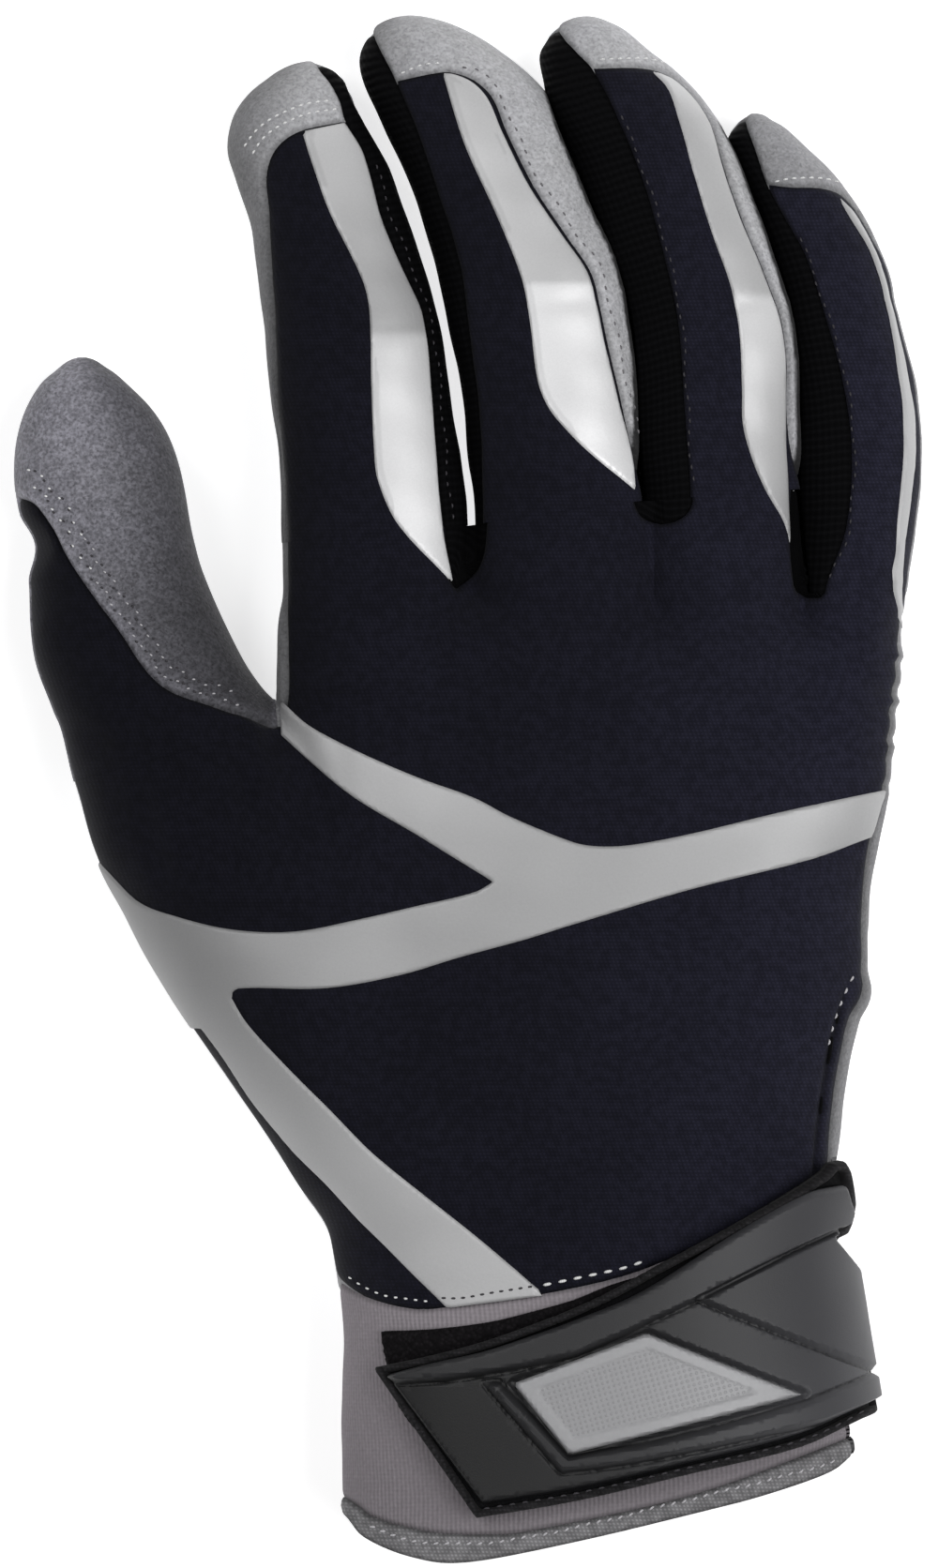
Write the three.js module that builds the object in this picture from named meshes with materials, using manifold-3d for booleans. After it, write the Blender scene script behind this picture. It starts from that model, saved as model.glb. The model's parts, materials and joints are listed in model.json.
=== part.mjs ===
// A right-hand batting glove that lies palm down, with its fingers along +Y and its thumb on the -X side.
// The hand, the fingers and the thumb are tubes lofted through ribs. They are joined, hollowed, parted
// at the finger roots and split along the seams into the sewn panels. Film, pads and strap are thin
// layers that follow the same tubes, one above the other.
import * as THREE from "three";
import { mergeVertices } from "three/addons/utils/BufferGeometryUtils.js";
import Module from "manifold-3d";

const wasm = await Module();
wasm.setup();

// Driving dimensions, in millimetres.
const GLOVE_LENGTH = 240; // middle fingertip to the lowest point of the hem
const HAND_DEPTH = 38; // thickness of the glove at the wrist
const WALL = 1.2; // leather, stretch cloth and knit
const SEAM_GAP = 0.3; // clearance between neighbouring panels and layers
const FINGER_GAP = 0.9; // clearance between two fingers that lie side by side
const FILM = 0.5; // silver film on the back
const PATCH = 1.4; // heel patch, before it is trimmed flat underneath
const BINDING = 0.5; // how far a folded edge stands out, and in
const BINDING_END = 1.4; // radius of the folded end of the cuff binding
const LOOP_PAD = 0.9;
const HOOK_PAD = 0.8;
const STRAP_BASE = 1.2;
const STRAP_COVER = 1.5;
const STRAP_RIDGE = 1; // height of the raised frame on the cover
const STRAP_EDGING = 1.5; // width of the piped rim
const INSET_DEPTH = 0.4; // how far the inset lies below the cover
const OVERRUN = 8; // how far a cutter runs past what it cuts

// Outlines are read off the picture of the back of the hand, in its pixels, x to the right and y down.
const PICTURE_MIDDLE_PX = [498, 841];
const PICTURE_LENGTH_PX = 1648;
const MM_PER_PX = GLOVE_LENGTH / PICTURE_LENGTH_PX;

// How a rib's section is rounded: the level where it is widest, and the powers of its curves.
const WIDEST_SHARE = 0.45;
const BACK_POWER = 2.3;
const PALM_POWER = 2.7;
const HAND_SIDES = 20;
const FINGER_SIDES = 12;
const HOLLOW_SIDES_SHARE = 0.67; // a hollow has fewer sides than the tube round it
const TIP_REACH_SHARE = 0.8; // how far towards its tip a tube's last ring is drawn
const LEAST_MITRE_SHARE = 0.5; // sharper corners of a widened outline are blunted

// Ribs run from the wrist end to the tip: left x and y, right x and y in pixels, then underside and
// top as shares of HAND_DEPTH. A tip has its x and y and its height as such a share.
const handForm = {
  sides: HAND_SIDES,
  ribShares: [
    [365, 1720, 915, 1660, 0.035, 0.98],
    [365, 1590, 914, 1570, 0.035, 0.98],
    [365, 1490, 900, 1485, 0.035, 0.98],
    [364, 1400, 886, 1400, 0.035, 0.97],
    [350, 1310, 876, 1320, 0.035, 0.97],
    [318, 1235, 893, 1240, 0.035, 0.98],
    [306, 1150, 906, 1150, 0.045, 0.99],
    [302, 1050, 928, 1050, 0.08, 1],
    [300, 950, 930, 945, 0.12, 1],
    [300, 850, 944, 840, 0.16, 0.97],
    [301, 745, 957, 745, 0.2, 0.92],
    [306, 670, 960, 690, 0.25, 0.86],
    [330, 620, 930, 650, 0.4, 0.66],
  ],
};
const thumbForm = {
  sides: FINGER_SIDES,
  ribShares: [
    [420, 1330, 570, 1290, 0.1, 0.8],
    [335, 1270, 540, 1215, 0.06, 0.88],
    [270, 1187, 510, 1115, 0.05, 0.92],
    [198, 1083, 470, 1005, 0.05, 0.93],
    [143, 990, 425, 910, 0.05, 0.9],
    [106, 915, 370, 845, 0.04, 0.86],
    [84, 845, 316, 782, 0.03, 0.8],
    [62, 767, 266, 712, 0.02, 0.73],
    [36, 690, 230, 640, 0.01, 0.67],
    [31, 615, 209, 575, 0, 0.61],
    [24, 560, 197, 525, 0, 0.57],
    [15, 505, 183, 477, 0.01, 0.53],
    [22, 450, 157, 435, 0.03, 0.48],
    [42, 412, 127, 404, 0.07, 0.42],
    [62, 394, 106, 390, 0.13, 0.34],
  ],
  tipShares: [84, 383, 0.24],
};
const indexForm = {
  sides: FINGER_SIDES,
  ribShares: [
    [306, 740, 510, 720, 0.22, 0.86],
    [298, 560, 500, 540, 0.21, 0.82],
    [294, 480, 489, 461, 0.2, 0.79],
    [284, 400, 477, 382, 0.18, 0.76],
    [276, 320, 460, 302, 0.15, 0.72],
    [268, 245, 435, 228, 0.1, 0.66],
    [253, 190, 414, 172, 0.05, 0.59],
    [244, 158, 400, 142, 0.02, 0.54],
    [249, 126, 389, 113, 0, 0.49],
    [267, 99, 374, 89, 0.03, 0.43],
    [291, 79, 358, 73, 0.08, 0.36],
  ],
  tipShares: [326, 65, 0.22],
};
const middleForm = {
  sides: FINGER_SIDES,
  ribShares: [
    [492, 740, 722, 710, 0.22, 0.9],
    [504, 560, 704, 530, 0.21, 0.86],
    [497, 490, 688, 455, 0.2, 0.83],
    [489, 415, 681, 372, 0.18, 0.79],
    [475, 340, 665, 290, 0.15, 0.75],
    [456, 262, 629, 206, 0.11, 0.7],
    [434, 192, 600, 132, 0.06, 0.63],
    [408, 137, 564, 82, 0.02, 0.56],
    [388, 96, 530, 52, 0, 0.5],
    [381, 64, 501, 34, 0.02, 0.45],
    [388, 42, 478, 24, 0.06, 0.4],
    [404, 27, 458, 19, 0.12, 0.33],
  ],
  tipShares: [429, 18, 0.22],
};
const ringForm = {
  sides: FINGER_SIDES,
  ribShares: [
    [704, 740, 862, 712, 0.22, 0.88],
    [708, 545, 853, 520, 0.2, 0.83],
    [692, 480, 852, 442, 0.19, 0.8],
    [684, 400, 846, 346, 0.17, 0.77],
    [672, 315, 817, 260, 0.14, 0.73],
    [647, 245, 789, 192, 0.1, 0.67],
    [619, 175, 760, 124, 0.06, 0.6],
    [595, 127, 727, 82, 0.02, 0.54],
    [582, 88, 691, 54, 0, 0.48],
    [577, 57, 664, 32, 0.02, 0.43],
    [586, 36, 643, 21, 0.07, 0.37],
  ],
  tipShares: [613, 18, 0.21],
};
const littleForm = {
  sides: FINGER_SIDES,
  ribShares: [
    [854, 740, 957, 735, 0.21, 0.82],
    [860, 585, 974, 578, 0.19, 0.76],
    [858, 505, 982, 492, 0.18, 0.72],
    [856, 432, 976, 412, 0.16, 0.69],
    [851, 370, 960, 345, 0.13, 0.65],
    [842, 312, 943, 281, 0.09, 0.61],
    [824, 258, 920, 228, 0.05, 0.55],
    [804, 205, 889, 185, 0.02, 0.5],
    [787, 168, 859, 156, 0, 0.45],
    [779, 146, 837, 136, 0.03, 0.4],
    [787, 131, 822, 127, 0.08, 0.34],
  ],
  tipShares: [804, 120, 0.21],
};

// The lines between neighbouring fingers, root to tip. A finger parts from the hand along the line from
// the first point on its left to the first point on its right.
const indexRootLeft = [285, 580];
const indexToMiddle = [
  [502, 560], [496, 520], [491, 480], [484, 430], [478, 380], [464, 310], [447, 250], [426, 195], [402, 150],
  [380, 110], [369, 80], [365, 0],
];
const middleToRing = [
  [706, 531], [696, 495], [689, 460], [684, 400], [680, 340], [668, 300], [650, 250], [634, 210], [616, 165],
  [600, 130], [586, 95], [570, 62], [545, 0],
];
const ringRootLeft = [706, 545];
const ringToLittle = [
  [856, 521], [855, 450], [852, 385], [845, 322], [826, 266], [801, 205], [782, 162], [768, 138], [755, 100],
  [750, 0],
];
const littleRootLeft = [858, 633];
const littleRootRight = [1080, 628];
const thumbRootLeft = [-80, 876];
const thumbRootRight = [296, 775];
const thumbToIndex = [[290, 700], [268, 600], [225, 400], [205, 300]];
const FAR_PX = [-80, -60, 1080, 1760]; // left, up, right and down past the glove

// Panel outlines on each finger.
const indexBack = [
  [304, 640], [302, 590], [296, 418], [286, 232], [282, 190], [292, 159], [318, 139], [370, 127], [391, 166],
  [411, 239], [441, 305], [453, 336], [461, 393], [467, 468], [475, 567], [480, 640],
];
const indexGusset = [
  [480, 640], [475, 567], [467, 468], [461, 393], [453, 336], [441, 305], [411, 239], [391, 166], [370, 127],
  [370, 80], [420, 80], [520, 300], [530, 640],
];
const indexFilm = [
  [322, 140], [368, 130], [388, 166], [408, 239], [438, 305], [450, 336], [458, 393], [464, 468], [472, 567],
  [483, 623], [425, 561], [403, 513], [399, 480], [396, 412], [394, 331], [386, 298], [351, 226], [332, 172],
];
const middleBack = [
  [512, 640], [512, 560], [508, 440], [500, 370], [490, 290], [470, 220], [447, 150], [421, 86], [468, 76],
  [484, 76], [507, 84], [525, 102], [540, 139], [570, 199], [606, 252], [633, 295], [649, 362], [663, 423],
  [681, 494], [715, 545], [715, 640],
];
const middleGusset = [
  [480, 640], [512, 640], [512, 560], [508, 440], [500, 370], [490, 290], [470, 220], [447, 150], [421, 86],
  [396, 31], [396, 0], [340, 0], [340, 100], [440, 400],
];
const middleFilm = [
  [472, 78], [484, 79], [504, 88], [520, 106], [535, 141], [565, 201], [601, 254], [628, 297], [644, 364],
  [658, 425], [674, 490], [677, 524], [629, 485], [601, 457], [584, 435], [573, 407], [565, 345], [556, 298],
  [530, 232], [500, 166], [488, 133],
];
const ringBack = [
  [720, 640], [720, 520], [716, 420], [712, 340], [695, 270], [672, 200], [650, 130], [631, 72], [689, 71],
  [719, 81], [745, 104], [762, 133], [772, 172], [792, 232], [818, 292], [832, 332], [840, 381], [841, 476],
  [844, 541], [870, 560], [870, 640],
];
const ringGusset = [
  [690, 640], [720, 640], [720, 520], [716, 420], [712, 340], [695, 270], [672, 200], [650, 130], [631, 72],
  [613, 53], [594, 28], [594, 0], [550, 0], [550, 100], [640, 400],
];
const ringFilm = [
  [694, 76], [716, 84], [741, 106], [758, 134], [768, 173], [788, 233], [814, 293], [828, 333], [836, 382],
  [837, 476], [839, 532], [841, 583], [834, 558], [816, 526], [801, 491], [791, 453], [790, 417], [787, 352],
  [778, 305], [759, 252], [739, 186], [725, 133], [712, 96],
];
const littleBack = [
  [872, 740], [875, 632], [898, 564], [904, 476], [892, 403], [868, 330], [840, 260], [819, 203], [845, 199],
  [878, 199], [901, 206], [921, 229], [936, 262], [950, 300], [964, 359], [976, 417], [980, 447], [980, 488],
  [974, 550], [966, 612], [966, 740],
];
const littleGusset = [
  [820, 740], [872, 740], [875, 632], [898, 564], [904, 476], [892, 403], [868, 330], [840, 260], [819, 203],
  [803, 153], [795, 128], [790, 90], [740, 90], [740, 150], [800, 400],
];
const littleFilm = [
  [893, 208], [913, 228], [930, 262], [944, 300], [959, 359], [971, 417], [975, 447], [975, 488], [969, 550],
  [962, 612], [960, 673], [953, 640], [951, 610], [955, 588], [957, 547], [962, 488], [962, 432], [956, 390],
  [948, 340], [938, 300], [924, 262], [905, 228],
];
const thumbBack = [
  [28, 534], [50, 556], [70, 593], [93, 627], [126, 671], [157, 716], [180, 736], [210, 747], [253, 761],
  [320, 782], [320, 900], [-60, 900], [-60, 520],
];

// Panel outlines on the hand.
const handBack = [
  [306, 540], [306, 745], [302, 765], [300, 774], [240, 760], [-60, 800], [-60, 1000], [240, 1330],
  [340, 1352], [387, 1382], [439, 1394], [476, 1392], [577, 1378], [684, 1352], [830, 1288], [882, 1262],
  [879, 1238], [875, 1187], [885, 1101], [898, 1072], [916, 1037], [916, 932], [924, 880], [936, 845],
  [960, 835], [1040, 835], [1040, 500], [600, 400],
];
const ventEdge = [
  [882, 1262], [879, 1238], [875, 1187], [885, 1101], [898, 1072], [916, 1037], [916, 932], [924, 880],
  [936, 845], [925, 845], [912, 880], [904, 932], [904, 1032], [887, 1066], [873, 1098], [863, 1187],
  [867, 1238], [870, 1266],
];
const vent = [
  [936, 845], [960, 838], [1040, 838], [1040, 1300], [860, 1300], [860, 1262], [850, 1187], [870, 1090],
  [895, 1030], [895, 932], [910, 870],
];
const VENT_TOP_SHARE = 0.6;
const GUSSET_LOW_SHARE = 0.22;
const handFilm = [
  [300, 747], [331, 774], [379, 800], [443, 828], [506, 851], [544, 871], [608, 897], [633, 902], [671, 901],
  [735, 889], [831, 866], [932, 846], [918, 880], [863, 916], [735, 948], [608, 986], [560, 1001],
  [490, 1020], [427, 1039], [347, 1053], [256, 1053], [246, 1060], [264, 1090], [300, 1130], [347, 1176],
  [400, 1230], [500, 1310], [576, 1374], [480, 1388], [360, 1275], [290, 1200], [215, 1095], [180, 1100],
  [60, 960], [108, 918], [146, 959], [188, 977], [251, 991], [315, 993], [379, 981], [443, 966], [506, 951],
  [526, 940], [490, 918], [443, 889], [379, 851], [331, 812], [300, 784],
];
const heelPatch = [
  [420, 1130], [500, 1070], [640, 1045], [780, 1065], [850, 1130], [862, 1240], [835, 1340], [700, 1378],
  [500, 1378], [405, 1330], [392, 1210],
];
// The cuff's upper edge on the back and on the palm, its hem seam and its hem.
const cuffTopOnBack = [
  [320, 1352], [387, 1382], [439, 1394], [476, 1392], [577, 1378], [684, 1352], [830, 1288], [882, 1262],
  [1000, 1215],
];
const cuffTopOnPalm = [
  [320, 1370], [420, 1398], [560, 1408], [700, 1398], [820, 1370], [1000, 1330],
];
const hemSeam = [
  [300, 1575], [372, 1600], [399, 1617], [459, 1631], [523, 1633], [577, 1627], [735, 1592], [880, 1542],
  [1000, 1500],
];
const hem = [
  [300, 1590], [362, 1612], [388, 1638], [439, 1658], [498, 1663], [617, 1640], [735, 1612], [814, 1592],
  [886, 1568], [921, 1545], [1000, 1520],
];
const slit = [[840, 1250], [1040, 1180], [1040, 1740], [840, 1740]];
const SLIT_LOW_SHARE = 0.42;
const SLIT_TOP_SHARE = 0.58;
const bindingEndPlace = [912, 1542];
const loopPad = [
  [404, 1420], [462, 1417], [523, 1411], [564, 1396], [625, 1380], [700, 1360], [745, 1345], [770, 1500],
  [620, 1560], [500, 1580], [420, 1500],
];

// The strap's outline, the pad under it, and the raised frame on its cover.
const strapOutline = [
  [400, 1453], [462, 1441], [543, 1431], [625, 1400], [640, 1380], [727, 1335], [814, 1292], [879, 1250],
  [905, 1246], [912, 1294], [900, 1314], [887, 1322], [902, 1343], [925, 1352], [1000, 1380], [1000, 1500],
  [933, 1507], [854, 1540], [735, 1568], [617, 1596], [507, 1615],
];
const coverOutline = [
  [416, 1462], [470, 1451], [549, 1442], [630, 1414], [716, 1372], [800, 1330], [888, 1288], [900, 1296],
  [893, 1306], [872, 1322], [892, 1350], [925, 1366], [1000, 1386], [1000, 1470], [926, 1493], [850, 1526],
  [732, 1554], [615, 1581], [516, 1598],
];
const STRAP_LOW_SHARE = 0.44;
const upperRidge = [
  [440, 1466], [502, 1456], [556, 1447], [634, 1420], [716, 1382], [870, 1308], [878, 1316], [814, 1350],
  [733, 1388], [686, 1410], [625, 1434], [549, 1464], [502, 1470],
];
const frameRidge = [
  [519, 1472], [600, 1564], [640, 1545], [770, 1521], [879, 1489], [926, 1464], [922, 1452], [870, 1474],
  [765, 1506], [640, 1529], [607, 1548], [540, 1472],
];
const creaseRidge = [[726, 1396], [744, 1388], [922, 1448], [914, 1460]];
const inset = [[547, 1472], [688, 1419], [853, 1485], [606, 1547]];
const hookPad = [
  [440, 1470], [549, 1450], [640, 1415], [700, 1400], [740, 1530], [617, 1570], [520, 1585],
];

const colours = {
  leather: 0xa6a6a8,
  thumbLeather: 0x76757b,
  cloth: 0x17171f,
  mesh: 0x0b0b0f,
  film: 0xc2c2c4,
  knit: 0x78747a,
  binding: 0x7d7c7e,
  pad: 0x121214,
  strapCloth: 0x1c1c1e,
  strapCover: 0x3a3a3d,
  inset: 0x9c9c9f,
};

const [middleX, middleY] = PICTURE_MIDDLE_PX;
const place = (x, y) => new THREE.Vector2((x - middleX) * MM_PER_PX, (middleY - y) * MM_PER_PX);
const height = (share) => share * HAND_DEPTH;

function solid(geometry) {
  geometry.deleteAttribute("normal");
  geometry.deleteAttribute("uv");
  const merged = mergeVertices(geometry);
  return new wasm.Manifold(
    new wasm.Mesh({
      numProp: 3,
      vertProperties: merged.attributes.position.array,
      triVerts: new Uint32Array(merged.index.array),
    }),
  );
}

// Ribs in millimetres, each with its middle, its direction across, half its width and its levels.
function ribsOf(form) {
  return form.ribShares.map(([leftX, leftY, rightX, rightY, lowShare, highShare]) => {
    const left = place(leftX, leftY);
    const right = place(rightX, rightY);
    return {
      centre: left.clone().add(right).divideScalar(2),
      across: right.clone().sub(left).normalize(),
      half: left.distanceTo(right) / 2,
      low: height(lowShare),
      wide: height(lowShare + WIDEST_SHARE * (highShare - lowShare)),
      high: height(highShare),
    };
  });
}

// A closed solid through rings of points, with both ends closed.
function skin(rings) {
  const sides = rings[0].length;
  const points = rings.flat();
  const triangles = [];
  rings.slice(1).forEach((_, i) => {
    for (let k = 0; k < sides; k++) {
      const a = i * sides + k;
      const b = i * sides + ((k + 1) % sides);
      triangles.push(a, b + sides, b, a, a + sides, b + sides);
    }
  });
  const middleOf = (ring) =>
    ring.reduce((sum, p) => sum.add(p), new THREE.Vector3()).divideScalar(sides);
  const first = points.push(middleOf(rings[0])) - 1;
  const last = points.push(middleOf(rings[rings.length - 1])) - 1;
  const lastRing = (rings.length - 1) * sides;
  for (let k = 0; k < sides; k++) {
    const next = (k + 1) % sides;
    triangles.push(k, next, first, lastRing + next, lastRing + k, last);
  }
  const geometry = new THREE.BufferGeometry().setFromPoints(points);
  geometry.setIndex(triangles);
  return solid(geometry);
}

const ringAt = (centre, across, outline) =>
  outline.map(
    ([x, z]) => new THREE.Vector3(centre.x + across.x * x, centre.y + across.y * x, z),
  );

// A tube through the ribs, moved out by grow along its surface, or in where grow is negative.
function tube(form, grow) {
  const ribs = ribsOf(form);
  const tip = form.tipShares && place(form.tipShares[0], form.tipShares[1]);
  const sides = grow < 0 ? 2 * Math.round((HOLLOW_SIDES_SHARE * form.sides) / 2) : form.sides;
  const rings = ribs.map((rib, i) => {
    const before = ribs[Math.max(i - 1, 0)];
    const after = ribs[i + 1] || { centre: tip || rib.centre, half: tip ? 0 : rib.half };
    const along = after.centre.clone().sub(before.centre);
    const slope = Math.atan2(before.half - after.half, along.length());
    const centre = rib.centre.clone().addScaledVector(along.normalize(), grow * Math.sin(slope));
    const out = grow * Math.cos(slope);
    const outline = Array.from({ length: sides }, (_, k) => {
      const angle = (2 * Math.PI * k) / sides;
      const up = Math.sin(angle);
      const side = Math.cos(angle);
      const rise = up > 0 ? rib.high - rib.wide + out : rib.wide - rib.low + out;
      const power = 2 / (up > 0 ? BACK_POWER : PALM_POWER);
      return [
        (rib.half + out) * Math.sign(side) * Math.abs(side) ** power,
        rib.wide + rise * Math.sign(up) * Math.abs(up) ** power,
      ];
    });
    return ringAt(centre, rib.across, outline);
  });
  if (tip) {
    const lastRib = ribs[ribs.length - 1];
    const point = tip.clone().addScaledVector(tip.clone().sub(lastRib.centre).normalize(), grow);
    const end = new THREE.Vector3(point.x, point.y, height(form.tipShares[2]));
    const lastRing = rings[rings.length - 1];
    rings.push(lastRing.map((p) => p.clone().lerp(end, TIP_REACH_SHARE)));
  }
  return skin(rings);
}

// The space between two levels of a form, given as shares of each rib's own depth, wider than the form.
function between(form, lowShare, highShare, grow = 0) {
  const ribs = ribsOf(form);
  const first = ribs[0];
  const last = ribs[ribs.length - 1];
  const forward = (rib) => new THREE.Vector2(-rib.across.y, rib.across.x);
  const started = {
    ...first,
    centre: first.centre.clone().addScaledVector(forward(first), -OVERRUN),
  };
  const reach = form.tipShares
    ? place(form.tipShares[0], form.tipShares[1]).distanceTo(last.centre) + OVERRUN
    : OVERRUN;
  const ended = { ...last, centre: last.centre.clone().addScaledVector(forward(last), reach) };
  return skin(
    [started, ...ribs, ended].map((rib) => {
      const half = rib.half + OVERRUN;
      const bottom = lowShare > 0 ? rib.low + lowShare * (rib.high - rib.low) - grow : rib.low - OVERRUN;
      const top = highShare < 1 ? rib.low + highShare * (rib.high - rib.low) + grow : rib.high + OVERRUN;
      return ringAt(rib.centre, rib.across, [
        [half, bottom],
        [half, top],
        [-half, top],
        [-half, bottom],
      ]);
    }),
  );
}

// An outline moved out by a distance, corner by corner.
function widened(points, distance) {
  const turn = THREE.ShapeUtils.area(points) > 0 ? 1 : -1;
  return points.map((p, i) => {
    const before = points[(i + points.length - 1) % points.length];
    const after = points[(i + 1) % points.length];
    const enter = p.clone().sub(before).normalize();
    const leave = after.clone().sub(p).normalize();
    const normal = new THREE.Vector2(enter.y + leave.y, -enter.x - leave.x).normalize();
    const spread = Math.max(normal.x * enter.y - normal.y * enter.x, LEAST_MITRE_SHARE);
    return p.clone().addScaledVector(normal, (turn * distance) / spread);
  });
}

// An upright prism over an outline in picture pixels, from a floor level to above the glove.
function prism(outline, grow = 0, floor = -OVERRUN) {
  const points = outline.map(([x, y]) => place(x, y));
  const shape = new THREE.Shape(grow ? widened(points, grow) : points);
  const depth = HAND_DEPTH + 4 * OVERRUN - floor;
  const geometry = new THREE.ExtrudeGeometry(shape, { depth, bevelEnabled: false });
  geometry.translate(0, 0, floor);
  return solid(geometry);
}

const joined = (solids) => solids.reduce((sum, one) => sum.add(one));
const without = (whole, cutters) => cutters.reduce((rest, cutter) => rest.subtract(cutter), whole);

// The largest body of a cut piece: slivers that a cutter leaves fall away.
const withoutOffcuts = (cut) =>
  cut.decompose().reduce((best, body) => (body.volume() > best.volume() ? body : best));

const group = new THREE.Group();
function add(name, body, colour, roughness, metalness = 0) {
  const made = withoutOffcuts(body).getMesh();
  const geometry = new THREE.BufferGeometry();
  geometry.setAttribute("position", new THREE.BufferAttribute(made.vertProperties, 3));
  geometry.setIndex(new THREE.BufferAttribute(made.triVerts, 1));
  geometry.computeVertexNormals();
  const material = new THREE.MeshStandardMaterial({ color: colour, roughness, metalness });
  const mesh = new THREE.Mesh(geometry, material);
  mesh.name = name;
  group.add(mesh);
}
const addLeather = (name, body) => add(name, body, colours.leather, 0.7);
const addCloth = (name, body) => add(name, body, colours.cloth, 0.85);
const addMesh = (name, body) => add(name, body, colours.mesh, 0.95);
const addFilm = (name, body) => add(name, body, colours.film, 0.3, 0.6);

// The plan area of each finger. Drawn in by a distance beside its neighbours and stretched at the root,
// it bounds the finger's hollow.
const [farLeft, farUp, farRight, farDown] = FAR_PX;
const moved = (points, right, down = 0) =>
  points.map(([x, y]) => [x + right / MM_PER_PX, y + down / MM_PER_PX]);
const leftOf = (line, inset) => moved(line, -FINGER_GAP / 2 - inset);
const rightOf = (line, inset) => moved(line, FINGER_GAP / 2 + inset);
const backwards = (line) => [...line].reverse();
const stretched = (line, stretch) => [...moved(line.slice(0, 1), 0, stretch), ...line];
const regions = {
  index: (inset, stretch) => [
    ...moved([indexRootLeft], 0, stretch),
    ...stretched(leftOf(indexToMiddle, inset), stretch),
    [farLeft, farUp],
    thumbToIndex[2],
  ],
  middle: (inset, stretch) => [
    ...backwards(stretched(rightOf(indexToMiddle, inset), stretch)),
    ...stretched(leftOf(middleToRing, inset), stretch),
  ],
  ring: (inset, stretch) => [
    ...backwards(stretched(rightOf([ringRootLeft, ...middleToRing], inset), stretch)),
    ...stretched(leftOf(ringToLittle, inset), stretch),
  ],
  little: (inset, stretch) => [
    ...backwards(stretched(rightOf([littleRootLeft, ...ringToLittle], inset), stretch)),
    ...moved([littleRootRight], 0, stretch),
    [farRight, farUp],
  ],
  thumb: (inset, stretch) => [
    ...moved([thumbRootLeft, thumbRootRight], 0, stretch),
    ...thumbToIndex,
    [farLeft, thumbToIndex[3][1]],
  ],
};
const handRegion = [
  thumbRootLeft, thumbRootRight, thumbToIndex[0], indexRootLeft, indexToMiddle[0], middleToRing[0],
  ringRootLeft, ringToLittle[0], littleRootLeft, littleRootRight, [farRight, farDown], [farLeft, farDown],
];

// The joined hand and its grown copies, and the space above its parting line.
const forms = [handForm, thumbForm, indexForm, middleForm, ringForm, littleForm];
const whole = (grow) => joined(forms.map((form) => tube(form, grow)));
const upper = (grow = 0) => joined(forms.map((form) => between(form, WIDEST_SHARE, 1, grow)));
const handArea = prism(handRegion, -SEAM_GAP);
const filmLayer = (make) => make(SEAM_GAP + FILM).subtract(make(SEAM_GAP));
const handFilmLayer = filmLayer(whole).intersect(handArea);

// One finger: its shell is split into the leather, the back and the gusset, with film on the back.
function addFinger(name, form, panels) {
  const area = prism(regions[name](0, 0));
  const hollow = tube(form, -WALL).intersect(prism(regions[name](WALL, OVERRUN)));
  const shell = tube(form, 0).intersect(area).subtract(hollow);
  const backSpace = (grow) => prism(panels.back, grow).intersect(between(form, WIDEST_SHARE, 1, grow));
  const cutters = [backSpace(SEAM_GAP)];
  let back = shell.intersect(backSpace(0));
  if (panels.gusset) {
    const gussetSpace = (grow) =>
      prism(panels.gusset, grow).intersect(between(form, GUSSET_LOW_SHARE, 1, grow));
    addMesh(name + "_gusset", shell.intersect(gussetSpace(0)));
    back = back.subtract(gussetSpace(SEAM_GAP));
    cutters.push(gussetSpace(SEAM_GAP));
  }
  addCloth(name + "_back", back);
  if (panels.film) {
    const film = filmLayer((grow) => tube(form, grow)).intersect(prism(panels.film));
    addFilm(name + "_film", film.intersect(area).intersect(between(form, WIDEST_SHARE, 1)));
    if (panels.filmRoot) {
      const root = handFilmLayer.intersect(prism(panels.film)).intersect(upper());
      addFilm(name + "_film_root", root);
    }
  }
  return without(shell, cutters);
}

const panelsOf = {
  index: { back: indexBack, gusset: indexGusset, film: indexFilm, filmRoot: true },
  middle: { back: middleBack, gusset: middleGusset, film: middleFilm },
  ring: { back: ringBack, gusset: ringGusset, film: ringFilm, filmRoot: true },
  little: { back: littleBack, gusset: littleGusset, film: littleFilm, filmRoot: true },
};
addLeather("index_leather", addFinger("index", indexForm, panelsOf.index));
addLeather("middle_leather", addFinger("middle", middleForm, panelsOf.middle));
addLeather("ring_leather", addFinger("ring", ringForm, panelsOf.ring));
addLeather("little_leather", addFinger("little", littleForm, panelsOf.little));
const thumbLeather = addFinger("thumb", thumbForm, { back: thumbBack });
add("thumb_leather", thumbLeather, colours.thumbLeather, 0.7);

// The hand: its shell without the cuff is split into the palm and the back.
const handShell = whole(0).subtract(whole(-WALL)).intersect(handArea);
const strip = (top, bottom) => [...top, ...backwards(bottom)];
const palmLevels = (grow) => between(handForm, 0, WIDEST_SHARE, grow);
const backLevels = (grow) => between(handForm, WIDEST_SHARE, 1, grow);
const cuffSpace = (grow) =>
  prism(strip(cuffTopOnBack, hemSeam), grow)
    .intersect(backLevels(SEAM_GAP))
    .add(prism(strip(cuffTopOnPalm, hemSeam), grow).intersect(palmLevels(0)));
const hemSpace = prism(strip(moved(hemSeam, 0, SEAM_GAP), hem));
const belowCuff = prism([...hemSeam, [farRight, farDown], [farLeft, farDown]]);
const slitSpace = prism(slit).intersect(between(handForm, SLIT_LOW_SHARE, SLIT_TOP_SHARE));
const ventSpace = prism(vent).intersect(between(handForm, VENT_TOP_SHARE, 1));
const backSpace = (grow) => prism(handBack, grow).intersect(upper(grow));
const foldedLayer = tube(handForm, BINDING).subtract(tube(handForm, -WALL - BINDING));
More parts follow.
